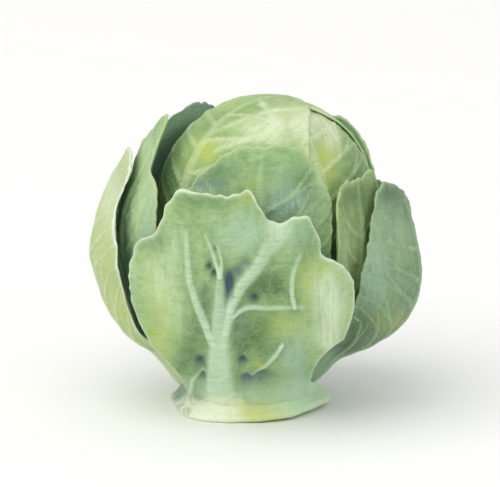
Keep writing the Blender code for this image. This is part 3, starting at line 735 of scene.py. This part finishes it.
def remap(tree, value, low, high, to_low=0.0, to_high=1.0):
    """Value moved from one range to another, with nothing outside it."""
    inputs = {"Value": value, "From Min": low, "From Max": high, "To Min": to_low, "To Max": to_high}
    return add_node(tree, "ShaderNodeMapRange", inputs).outputs["Result"]


def blend_colour(tree, share, a, b):
    """Colour a changed into colour b by the share."""
    node = add_node(tree, "ShaderNodeMix", data_type="RGBA")
    for key, value in (("Factor_Float", share), ("A_Color", a), ("B_Color", b)):
        socket = next(s for s in node.inputs if s.identifier == key)
        if isinstance(value, bpy.types.NodeSocket):
            tree.links.new(value, socket)
        else:
            socket.default_value = (*value, 1.0) if isinstance(value, tuple) else value
    return next(s for s in node.outputs if s.identifier == "Result_Color")


def attribute(tree, name):
    """Value of a named attribute of the mesh."""
    return add_node(tree, "ShaderNodeAttribute", attribute_name=name).outputs["Fac"]


def noise(tree, vector, scale, detail=3.0, roughness=0.5, distortion=0.0):
    """Soft random value from 0 to 1."""
    inputs = {"Vector": vector, "Scale": scale, "Detail": detail, "Roughness": roughness}
    return add_node(tree, "ShaderNodeTexNoise", {**inputs, "Distortion": distortion}).outputs["Fac"]


def stretch(tree, vector, scale):
    """Vector with each of its directions scaled by its own factor."""
    return add_node(tree, "ShaderNodeMapping", {"Vector": vector, "Scale": scale}).outputs["Vector"]


def split(tree, vector, direction):
    """The part of a vector along one direction, X, Y or Z."""
    return add_node(tree, "ShaderNodeSeparateXYZ", {0: vector}).outputs[direction]


def edges_of_cells(tree, vector, scale):
    """Distance to the nearest border of a field of uneven cells."""
    node = add_node(
        tree, "ShaderNodeTexVoronoi", {"Vector": vector, "Scale": scale}, feature="DISTANCE_TO_EDGE"
    )
    return node.outputs["Distance"]


def start_material(name):
    """A material with its tree, its Principled shader and Object coordinates in millimetres."""
    made = bpy.data.materials.new(name)
    made.use_nodes = True
    tree = made.node_tree
    place = add_node(tree, "ShaderNodeTexCoord").outputs["Object"]
    return made, tree, tree.nodes["Principled BSDF"], stretch(tree, place, (1000.0, 1000.0, 1000.0))


def leaf_skin(name):
    """Waxy leaf: mottled greens, yellow patches, bluish bloom, pale veins and rims, a fine net, and painted
    shade and painted light.
    """
    lit, blade, deep, vein_colour, rim_colour = TONES[name]
    made, tree, shader, place = start_material(name)
    vein, rim, foot = attribute(tree, "vein"), attribute(tree, "rim"), attribute(tree, "foot")
    across, along = attribute(tree, "across_blade"), attribute(tree, "along_blade")
    on_blade = add_node(tree, "ShaderNodeCombineXYZ", {"X": across, "Y": along}).outputs[0]
    wash = noise(tree, place, 0.16, 4.0, 0.6, 0.6)
    mottle = noise(tree, place, 0.75, 5.0, 0.65, 0.4)
    grain = noise(tree, place, 4.5, 3.0, 0.6)
    streak = noise(tree, stretch(tree, on_blade, (1.5, 0.28, 1.0)), 1.0, 4.0, 0.6, 0.5)

    wobble = add_node(tree, "ShaderNodeTexNoise", {"Vector": on_blade, "Scale": 0.9, "Detail": 2.0})
    bent = add_node(
        tree, "ShaderNodeVectorMath", {0: wobble.outputs["Color"], "Scale": 1.6}, operation="SCALE"
    ).outputs[0]
    bent = add_node(tree, "ShaderNodeVectorMath", {0: on_blade, 1: bent}, operation="ADD").outputs[0]
    coarse = remap(tree, edges_of_cells(tree, bent, 0.62), 0.0, 0.09, 1.0, 0.0)
    fine = remap(tree, edges_of_cells(tree, bent, 1.7), 0.0, 0.12, 0.45, 0.0)
    net = calc(tree, "MAXIMUM", coarse, fine)

    colour = blend_colour(tree, remap(tree, wash, 0.36, 0.66), blade, lit)
    colour = blend_colour(tree, remap(tree, streak, 0.40, 0.72, 0.0, 0.55), colour, lit)
    crosswise = noise(tree, stretch(tree, place, (0.5, 0.5, 3.2)), 1.0, 3.0, 0.6, 0.3)
    colour = blend_colour(tree, remap(tree, crosswise, 0.50, 0.70, 0.0, 0.5), colour, lit)
    colour = blend_colour(tree, remap(tree, crosswise, 0.48, 0.28, 0.0, 0.42), colour, deep)
    colour = blend_colour(tree, remap(tree, mottle, 0.52, 0.75, 0.0, 0.55), colour, deep)
    mottled = remap(tree, mottle, 0.3, 0.7, 0.9, 0.6)
    inner_face = calc(tree, "MULTIPLY", attribute(tree, "inner_face"), mottled)
    colour = blend_colour(tree, inner_face, colour, INNER_FACE)
    # painted shade: the shade patches and the hollows beside the veins turn towards the deep blade colour
    shade = calc(tree, "MULTIPLY", attribute(tree, "shade"), remap(tree, mottle, 0.25, 0.6, 0.65, 1.0))
    colour = blend_colour(tree, shade, colour, deep)
    colour = blend_colour(tree, calc(tree, "MULTIPLY", attribute(tree, "hollow"), 0.5), colour, deep)
    yellow = calc(tree, "MULTIPLY", attribute(tree, "yellow"), remap(tree, mottle, 0.3, 0.62, 0.25, 0.9))
    colour = blend_colour(tree, yellow, colour, YELLOW)
    bloom = calc(tree, "MULTIPLY", attribute(tree, "bloom"), remap(tree, streak, 0.3, 0.65, 0.3, 0.95))
    bloom = calc(tree, "ADD", bloom, remap(tree, wash, 0.45, 0.2, 0.0, 0.35), clamp=True)
    colour = blend_colour(tree, bloom, colour, BLOOM)
    light = calc(tree, "MULTIPLY", attribute(tree, "light"), remap(tree, streak, 0.3, 0.6, 0.4, 1.0))
    colour = blend_colour(tree, light, colour, rim_colour)
    colour = blend_colour(tree, calc(tree, "MULTIPLY", net, 0.15), colour, vein_colour)
    # painted shade in the pits
    colour = blend_colour(tree, attribute(tree, "pit"), colour, PIT_SHADE)
    colour = blend_colour(tree, calc(tree, "MULTIPLY", foot, 0.55), colour, vein_colour)
    brushed = calc(tree, "MULTIPLY", vein, remap(tree, crosswise, 0.3, 0.62, 0.55, 0.9))
    colour = blend_colour(tree, brushed, colour, vein_colour)
    colour = blend_colour(tree, calc(tree, "MULTIPLY", rim, 0.9, clamp=True), colour, rim_colour)
    colour = blend_colour(tree, remap(tree, grain, 0.35, 0.7, 0.0, 0.14), colour, deep)
    on_butt = remap(tree, above_butt(tree, place), BUTT_BLEND, -BUTT_BLEND)
    colour = blend_colour(tree, on_butt, colour, butt_colour(tree, place))
    tree.links.new(colour, shader.inputs["Base Color"])

    waxy = calc(tree, "MULTIPLY", bloom, 0.14)
    rough = calc(tree, "ADD", remap(tree, mottle, 0.3, 0.7, 0.40, 0.56), waxy)
    tree.links.new(rough, shader.inputs["Roughness"])
    raised = calc(tree, "ADD", calc(tree, "MULTIPLY", net, 0.5), calc(tree, "MULTIPLY", grain, 0.5))
    raised = calc(tree, "ADD", raised, calc(tree, "MULTIPLY", mottle, 0.8))
    bump = add_node(tree, "ShaderNodeBump", {"Height": raised, "Strength": 0.45, "Distance": 0.00022})
    tree.links.new(bump.outputs["Normal"], shader.inputs["Normal"])
    shader.inputs["Sheen Weight"].default_value = 0.03
    shader.inputs["Sheen Roughness"].default_value = 0.45
    shader.inputs["Specular IOR Level"].default_value = 0.3
    shader.inputs["Subsurface Weight"].default_value = 0.12
    shader.inputs["Subsurface Radius"].default_value = (0.6, 1.0, 0.3)
    shader.inputs["Subsurface Scale"].default_value = 0.0012
    return made


def above_butt(tree, place):
    """How far above the uneven upper limit of the cut butt's colour a point is."""
    aside = calc(tree, "SUBTRACT", split(tree, place, "X"), BUTT_MIDDLE_X)
    fall = calc(tree, "MULTIPLY", calc(tree, "MULTIPLY", aside, aside), BUTT_ROUNDING)
    uneven = remap(tree, noise(tree, place, 0.35, 4.0, 0.6, 0.8), 0.3, 0.7, -BUTT_BLEND, BUTT_BLEND)
    above = calc(tree, "SUBTRACT", calc(tree, "ADD", split(tree, place, "Z"), fall), BUTT_HEIGHT)
    return calc(tree, "ADD", above, uneven)


def butt_colour(tree, place):
    """Colour of the cut butt: cream at the left, yellow in the middle and greener to the right."""
    wash = noise(tree, place, 0.22, 4.0, 0.6, 0.8)
    fibre = noise(tree, place, 1.1, 4.0, 0.6, 0.3)
    across = calc(tree, "ADD", split(tree, place, "X"), remap(tree, wash, 0.3, 0.7, -2.0, 2.0))
    across = calc(tree, "ADD", across, remap(tree, fibre, 0.3, 0.7, -1.2, 1.2))
    colour = blend_colour(tree, remap(tree, across, *BUTT_YELLOW_FROM_TO), CREAM, BUTT_YELLOW)
    colour = blend_colour(tree, remap(tree, across, *BUTT_GREEN_FROM_TO), colour, BUTT_GREEN)
    return blend_colour(tree, remap(tree, fibre, 0.5, 0.75, 0.0, 0.35), colour, BUTT_GREEN)


def stem_skin():
    """Cut stem: cream flare, greener neck, yellow stains, and a ring on the cut face."""
    made, tree, shader, place = start_material("cut_stem")
    flat = add_node(
        tree, "ShaderNodeVectorMath", {0: place, 1: (1.0, 1.0, 0.0)}, operation="MULTIPLY"
    ).outputs[0]
    radius = add_node(tree, "ShaderNodeVectorMath", {0: flat}, operation="LENGTH").outputs["Value"]
    grain = noise(tree, place, 2.4, 4.0, 0.6)
    fibre = noise(tree, stretch(tree, place, (2.0, 2.0, 0.25)), 1.0, 4.0, 0.6, 0.3)
    neck = remap(tree, above_butt(tree, place), -BUTT_BLEND, BUTT_BLEND)
    # painted shade on the neck's left and painted light on its right
    to_right = remap(tree, split(tree, place, "X"), *NECK_FROM_TO)
    neck_shade_and_light = blend_colour(tree, to_right, NECK_SHADED_LEFT, NECK_LIT_RIGHT)
    colour = blend_colour(tree, neck, butt_colour(tree, place), neck_shade_and_light)
    ring = calc(tree, "ABSOLUTE", calc(tree, "SUBTRACT", radius, STRAND_RING))
    on_cut = remap(tree, split(tree, place, "Z"), 0.3, 0.12)
    ring = calc(tree, "MULTIPLY", remap(tree, ring, 0.0, 0.5, 0.6, 0.0), on_cut)
    colour = blend_colour(tree, ring, colour, CUT_RING)
    colour = blend_colour(tree, remap(tree, grain, 0.45, 0.75, 0.0, 0.22), colour, STEM_SPECKS)
    tree.links.new(colour, shader.inputs["Base Color"])
    tree.links.new(remap(tree, grain, 0.3, 0.7, 0.5, 0.7), shader.inputs["Roughness"])
    raised = calc(tree, "ADD", calc(tree, "MULTIPLY", fibre, 0.7), calc(tree, "MULTIPLY", grain, 0.5))
    bump = add_node(tree, "ShaderNodeBump", {"Height": raised, "Strength": 0.4, "Distance": 0.0002})
    tree.links.new(bump.outputs["Normal"], shader.inputs["Normal"])
    shader.inputs["Subsurface Weight"].default_value = 0.15
    shader.inputs["Subsurface Radius"].default_value = (0.9, 1.0, 0.5)
    shader.inputs["Subsurface Scale"].default_value = 0.0012
    return made


def show(name, mesh, material):
    """An object for a finished mesh, with its material."""
    mesh.materials.clear()
    mesh.materials.append(material)
    obj = bpy.data.objects.new(name, mesh)
    bpy.context.scene.collection.objects.link(obj)
    return obj


def fit_out(obj, node):
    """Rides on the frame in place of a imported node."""
    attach(obj, "root")
    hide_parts(node)


def socket_id(tree, name):
    """Identifier of a tree's named input."""
    return next(i.identifier for i in tree.interface.items_tree if i.name == name and i.in_out == "INPUT")


def grown_mesh(name, source, tree, values):
    """Mesh that a Geometry Nodes tree makes from a source mesh, with nothing left live on it."""
    obj = bpy.data.objects.new(name, source)
    bpy.context.scene.collection.objects.link(obj)
    modifier = obj.modifiers.new("grow", "NODES")
    modifier.node_group = tree
    for label, value in values.items():
        modifier[socket_id(tree, label)] = value
    bpy.context.view_layer.update()
    grown = bpy.data.meshes.new_from_object(obj.evaluated_get(bpy.context.evaluated_depsgraph_get()))
    bpy.data.objects.remove(obj)
    grown.name = name
    return grown


def new_tree(name, inputs):
    """A Geometry Nodes tree with its sockets and named inputs, as (tree, input node, output node)."""
    tree = bpy.data.node_groups.new(name, "GeometryNodeTree")
    tree.interface.new_socket("Geometry", in_out="INPUT", socket_type="NodeSocketGeometry")
    tree.interface.new_socket("Geometry", in_out="OUTPUT", socket_type="NodeSocketGeometry")
    for label, kind in inputs:
        tree.interface.new_socket(label, in_out="INPUT", socket_type=kind)
    return tree, tree.nodes.new("NodeGroupInput"), tree.nodes.new("NodeGroupOutput")


def end_tree(tree, geometry, material, group_out):
    """Ends a tree: real geometry, smooth, with its material."""
    real = add_node(tree, "GeometryNodeRealizeInstances", {"Geometry": geometry}).outputs[0]
    smooth = add_node(tree, "GeometryNodeSetShadeSmooth", {"Geometry": real}).outputs[0]
    painted = add_node(tree, "GeometryNodeSetMaterial", {"Geometry": smooth, "Material": material})
    tree.links.new(painted.outputs[0], group_out.inputs[0])


def wrapping_tree():
    """Repeats one wrapped leaf round the head, each a golden angle on and a little further out."""
    numbers = ("First azimuth", "Golden angle", "Step out", "Last leaf", "Core radius")
    tree, given, result = new_tree("wrap leaves round the head", [
        ("Leaf", "NodeSocketObject"), *((label, "NodeSocketFloat") for label in numbers),
        ("Centre", "NodeSocketVector"), ("Material", "NodeSocketMaterial"),
    ])
    leaf = add_node(tree, "GeometryNodeObjectInfo", {"Object": given.outputs["Leaf"], "As Instance": True})
    index = add_node(tree, "GeometryNodeInputIndex").outputs[0]
    turned = calc(tree, "MULTIPLY_ADD", index, given.outputs["Golden angle"])
    tree.links.new(given.outputs["First azimuth"], turned.node.inputs[2])
    azimuth = calc(tree, "RADIANS", turned)
    tip = add_node(tree, "GeometryNodeInputNamedAttribute", {"Name": "tip"}, data_type="FLOAT")
    tip = calc(tree, "RADIANS", calc(tree, "MULTIPLY", tip.outputs["Attribute"], -1.0))
    rotation = add_node(tree, "ShaderNodeCombineXYZ", {"Y": tip, "Z": azimuth}).outputs[0]
    rotation = add_node(tree, "FunctionNodeEulerToRotation", {0: rotation}).outputs[0]
    further_in = calc(tree, "SUBTRACT", given.outputs["Last leaf"], index)
    size = calc(tree, "SUBTRACT", 1.0, calc(tree, "MULTIPLY", further_in, given.outputs["Step out"]))
    placed = add_node(tree, "GeometryNodeInstanceOnPoints", {
        "Points": given.outputs["Geometry"], "Instance": leaf.outputs["Geometry"], "Rotation": rotation,
        "Scale": size,
    }).outputs[0]
    core = add_node(tree, "GeometryNodeMeshUVSphere", {
        "Segments": 72, "Rings": 36, "Radius": given.outputs["Core radius"],
    }).outputs["Mesh"]
    core = add_node(tree, "GeometryNodeTransform", {
        "Geometry": core, "Translation": given.outputs["Centre"],
    }).outputs[0]
    joined = add_node(tree, "GeometryNodeJoinGeometry")
    tree.links.new(core, joined.inputs[0])
    tree.links.new(placed, joined.inputs[0])
    end_tree(tree, joined.outputs[0], given.outputs["Material"], result)
    return tree


def wrapped_head(material):
    """The tight head: one blade wrapped round it several times, painted with streaks and patches."""
    blade = bpy.data.objects.new("wrapped_blade", leaf_mesh(HEAD_LEAF, 31))
    bpy.context.scene.collection.objects.link(blade)
    points = bpy.data.meshes.new("head_points")
    centre = (LEAN * MM, 0.0, HEAD_HEIGHT * MM)
    points.from_pydata([centre] * len(HEAD_TIPS), [], [])
    points.attributes.new("tip", "FLOAT", "POINT").data.foreach_set("value", HEAD_TIPS)
    mesh = grown_mesh("head", points, wrapping_tree(), {
        "Leaf": blade, "First azimuth": HEAD_FIRST_AZIMUTH, "Golden angle": GOLDEN_ANGLE,
        "Step out": HEAD_STEP / HEAD_RADIUS, "Last leaf": len(HEAD_TIPS) - 1.0,
        "Core radius": HEAD_CORE_RADIUS * MM, "Centre": centre, "Material": material,
    })
    bpy.data.objects.remove(blade)
    paint_head(mesh)
    return mesh


def read_values(mesh, label):
    """Values of a named point attribute."""
    values = np.zeros(len(mesh.vertices), np.float32)
    mesh.attributes[label].data.foreach_get("value", values)
    return values


def paint_head(mesh):
    """Adds the streaks and patches of the head's face to its attributes."""
    points = np.zeros(len(mesh.vertices) * 3, np.float32)
    mesh.vertices.foreach_get("co", points)
    points = points.reshape(-1, 3) / MM
    across, up = seen_from_the_front(points)
    facing = smoothstep(2.0, -2.0, points[:, 1])
    normals = np.zeros(len(mesh.vertices) * 3, np.float32)
    mesh.vertex_normals.foreach_get("vector", normals)
    rise = math.radians(VIEW_RISE)
    towards = normals.reshape(-1, 3) @ np.array([0.0, -math.cos(rise), math.sin(rise)])
    _, streak, _ = vein_field(across, up, HEAD_STREAKS)
    streak = streak * smoothstep(*HEAD_TURNED_AWAY, towards)
    values = {
        "vein": np.maximum(read_values(mesh, "vein") * HEAD_VEIN, streak * facing),
        "rim": read_values(mesh, "rim") * HEAD_RIM,
    }
    for kind, patches in HEAD_PATCHES.items():
        values[kind] = patch_strength(across, up, patches, facing)
    for label, value in values.items():
        mesh.attributes[label].data.foreach_set("value", value.astype(np.float32))


STEM_TOP = 12.3
STEM_PROFILE = [
    (0.0, 0.14), (3.0, 0.14), (6.2, 0.16), (8.3, 0.10), (9.1, 0.0), (9.4, 0.12), (9.5, 0.35), (9.4, 0.75),
    (8.95, 1.2), (8.45, 1.8), (8.05, 2.5), (7.75, 3.4), (7.3, 4.8), (6.6, 6.6), (5.9, 9.2), (4.8, 11.4),
    (3.0, STEM_TOP), (0.0, STEM_TOP),
]
STEM_LIFT = 0.5  # how far the cut edge rises at the right
STEM_BULGE = 0.8  # and how far it bulges at the front left
STEM_SIDES = 200
STEM_RINGS = 110
STEM_SCARS = 6
STEM_SCAR_DEPTH = 0.2
STEM_TIP = 0.35  # a small point of the cut edge at the right
STRAND_COUNT = 30
STRAND_RING = 6.4  # radius of the ring of strands in the cut face
STRAND_RADIUS = 0.34
STRAND_RISE = 0.12  # height of their middles, so that they stand a little out of the cut face


def stem_mesh():
    """The short stem: a turned profile with old leaf scars, ribs down its neck and an uneven cut edge."""
    profile = curve_through(STEM_PROFILE, np.linspace(0, 1, STEM_RINGS))
    profile[:, 1] = np.maximum(profile[:, 1], 0.0)
    angle = np.linspace(0, 2 * math.pi, STEM_SIDES, endpoint=False)
    radius = np.maximum(profile[1:-1, :1], 0.01) + 0 * angle
    z = profile[1:-1, 1:] + 0 * angle
    flare = smoothstep(4.2, 0.4, z)
    scar = 1 - np.cos(STEM_SCARS * angle + 0.9 + 0.6 * np.sin(2 * angle))
    rib = np.sin(17 * angle + 1.3 * np.sin(3 * angle)) * 0.07 + np.sin(31 * angle + 2.0) * 0.035
    tip = STEM_TIP * np.exp(-((np.angle(np.exp(1j * (angle + 0.05))) / 0.28) ** 2))
    bulge = STEM_BULGE * np.exp(-(((angle - 4.1) / 0.5) ** 2))
    edge = smoothstep(6.0, 9.0, radius)
    radius = radius + edge * (-STEM_SCAR_DEPTH * flare * scar + rib + (tip + bulge) * flare)
    to_right = np.maximum(np.cos(angle + 0.35), 0.0) ** 1.5
    z = z + STEM_LIFT * to_right * smoothstep(6.5, 9.0, radius) * smoothstep(3.4, 0.6, z)
    x = radius * np.cos(angle) + lean(z)
    y = radius * np.sin(angle)
    rings = np.stack([x, y, z], axis=-1)
    rows = len(rings)
    under, over = (lean(0.0), 0.0, profile[0, 1]), (lean(STEM_TOP), 0.0, profile[-1, 1])
    points = [under] + rings.reshape(-1, 3).tolist() + [over]
    faces = []
    for r in range(rows - 1):
        for c in range(STEM_SIDES):
            a, b = 1 + r * STEM_SIDES + c, 1 + r * STEM_SIDES + (c + 1) % STEM_SIDES
            faces.append((a, b, b + STEM_SIDES, a + STEM_SIDES))
    last = len(points) - 1
    top = 1 + (rows - 1) * STEM_SIDES
    for c in range(STEM_SIDES):
        following = (c + 1) % STEM_SIDES
        faces.append((0, 1 + following, 1 + c))
        faces.append((last, top + c, top + following))
    mesh = bpy.data.meshes.new("stem")
    mesh.from_pydata([[float(v) * MM for v in p] for p in points], [], faces)
    mesh.shade_smooth()
    turn_faces_out(mesh)
    return mesh


def strand_tree():
    """Sets a small oval strand on each point of a ring, each of its own size."""
    tree, given, result = new_tree("strands in the cut face", [
        ("Count", "NodeSocketInt"), ("Ring radius", "NodeSocketFloat"),
        ("Strand radius", "NodeSocketFloat"), ("Seed", "NodeSocketInt"), ("Material", "NodeSocketMaterial"),
    ])
    ring = add_node(tree, "GeometryNodeMeshCircle", {
        "Vertices": given.outputs["Count"], "Radius": given.outputs["Ring radius"],
    }).outputs[0]
    strand = add_node(tree, "GeometryNodeMeshIcoSphere", {
        "Radius": given.outputs["Strand radius"], "Subdivisions": 2,
    }).outputs["Mesh"]
    scale = add_node(
        tree, "FunctionNodeRandomValue", {"Seed": given.outputs["Seed"]}, data_type="FLOAT_VECTOR"
    )
    scale.inputs[0].default_value = (0.7, 0.7, 0.25)
    scale.inputs[1].default_value = (1.3, 1.5, 0.35)
    placed = add_node(tree, "GeometryNodeInstanceOnPoints", {
        "Points": ring, "Instance": strand, "Scale": scale.outputs[0],
    }).outputs[0]
    end_tree(tree, placed, given.outputs["Material"], result)
    return tree


def strand_skin():
    """Paler, firmer strands of the cut face."""
    made, tree, shader, place = start_material("stem_strands")
    grain = noise(tree, place, 3.0, 3.0, 0.6)
    colour = blend_colour(tree, remap(tree, grain, 0.35, 0.65), *STRAND_COLOURS)
    tree.links.new(colour, shader.inputs["Base Color"])
    tree.links.new(remap(tree, grain, 0.3, 0.7, 0.5, 0.65), shader.inputs["Roughness"])
    return made


# The stage, in metres. Each lamp has its place, width, power and colour.
FLOOR_HALF = 6.0
FLOOR_COLOUR = (0.93, 0.93, 0.92, 1.0)
STUDIO_LIGHT = 0.78
LAMPS = (
    ("key", (-0.45, -0.42, 0.80), 1.30, 6.6, (1.0, 0.98, 0.95)),
    ("fill", (0.60, -0.60, 0.35), 0.60, 0.5, (0.94, 0.98, 1.0)),
)
PICTURE_WIDTH = 0.060
PICTURE_MIDDLE = (0.00006, 0.01985)  # to the right of the stem, and above the floor


def stage():
    """Plain pale floor, soft light and the camera."""
    floor_mesh = bpy.data.meshes.new("floor")
    corners = [(x * FLOOR_HALF, y * FLOOR_HALF, 0) for x, y in ((-1, -1), (1, -1), (1, 1), (-1, 1))]
    floor_mesh.from_pydata(corners, [], [(0, 1, 2, 3)])
    floor_skin = bpy.data.materials.new("pale_floor")
    floor_skin.use_nodes = True
    floor_shader = floor_skin.node_tree.nodes["Principled BSDF"]
    floor_shader.inputs["Base Color"].default_value = FLOOR_COLOUR
    floor_shader.inputs["Roughness"].default_value = 0.9
    show("floor", floor_mesh, floor_skin)

    world = bpy.data.worlds.new("studio")
    world.use_nodes = True
    world.node_tree.nodes["Background"].inputs["Color"].default_value = (1.0, 1.0, 1.0, 1.0)
    world.node_tree.nodes["Background"].inputs["Strength"].default_value = STUDIO_LIGHT
    bpy.context.scene.world = world
    for name, place, size, power, tint in LAMPS:
        data = bpy.data.lights.new(name, "AREA")
        data.size = size
        data.energy = power
        data.color = tint
        lamp = bpy.data.objects.new(name, data)
        lamp.location = place
        lamp.rotation_euler = (-lamp.location).to_track_quat("-Z", "Y").to_euler()
        bpy.context.scene.collection.objects.link(lamp)

    camera_data = bpy.data.cameras.new("camera")
    camera_data.lens = 500.0
    camera_data.sensor_width = 36.0
    camera_data.clip_end = 50.0
    camera = bpy.data.objects.new("camera", camera_data)
    away = PICTURE_WIDTH * camera_data.lens / camera_data.sensor_width
    rise = math.radians(VIEW_RISE)
    right, up = PICTURE_MIDDLE
    camera.location = (right, -away * math.cos(rise), up + away * math.sin(rise))
    camera.rotation_euler = (math.radians(90.0) - rise, 0.0, 0.0)
    bpy.context.scene.collection.objects.link(camera)
    bpy.context.scene.camera = camera
    bpy.context.scene.view_settings.view_transform = "Standard"


def main():
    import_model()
    skins = {name: leaf_skin(name) for name in TONES}
    leaves = (
        LEFT_OUTER, RIGHT_OUTER, BACK_LEFT_OUTER, BACK_RIGHT_OUTER, LEFT_INNER, BACK_LEFT_INNER,
        BACK_RIGHT_INNER, RIGHT_INNER, FRONT_INNER,
    )
    for number, leaf in enumerate(leaves):
        mesh = leaf_mesh(leaf, number)
        fit_out(show(leaf.name + "_blade", mesh, skins[leaf.finish]), leaf.name)
    mesh = leaf_mesh(FRONT, 20, front_blade_shape)
    fit_out(show("front_leaf_blade", mesh, skins["veined_leaf"]), "front_leaf")
    fit_out(show("wrapped_head", wrapped_head(skins["head_leaf"]), skins["head_leaf"]), "head")
    fit_out(show("cut_stem", stem_mesh(), stem_skin()), "stem")

    strand_source = bpy.data.meshes.new("strand_ring")
    skin = strand_skin()
    strands = grown_mesh("stem_strands", strand_source, strand_tree(), {
        "Count": STRAND_COUNT, "Ring radius": STRAND_RING * MM, "Strand radius": STRAND_RADIUS * MM,
        "Seed": 3, "Material": skin,
    })
    for vertex in strands.vertices:
        vertex.co.z += STRAND_RISE * MM
    strands = show("stem_strands", strands, skin)
    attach(strands, "root")

    stage()


main()
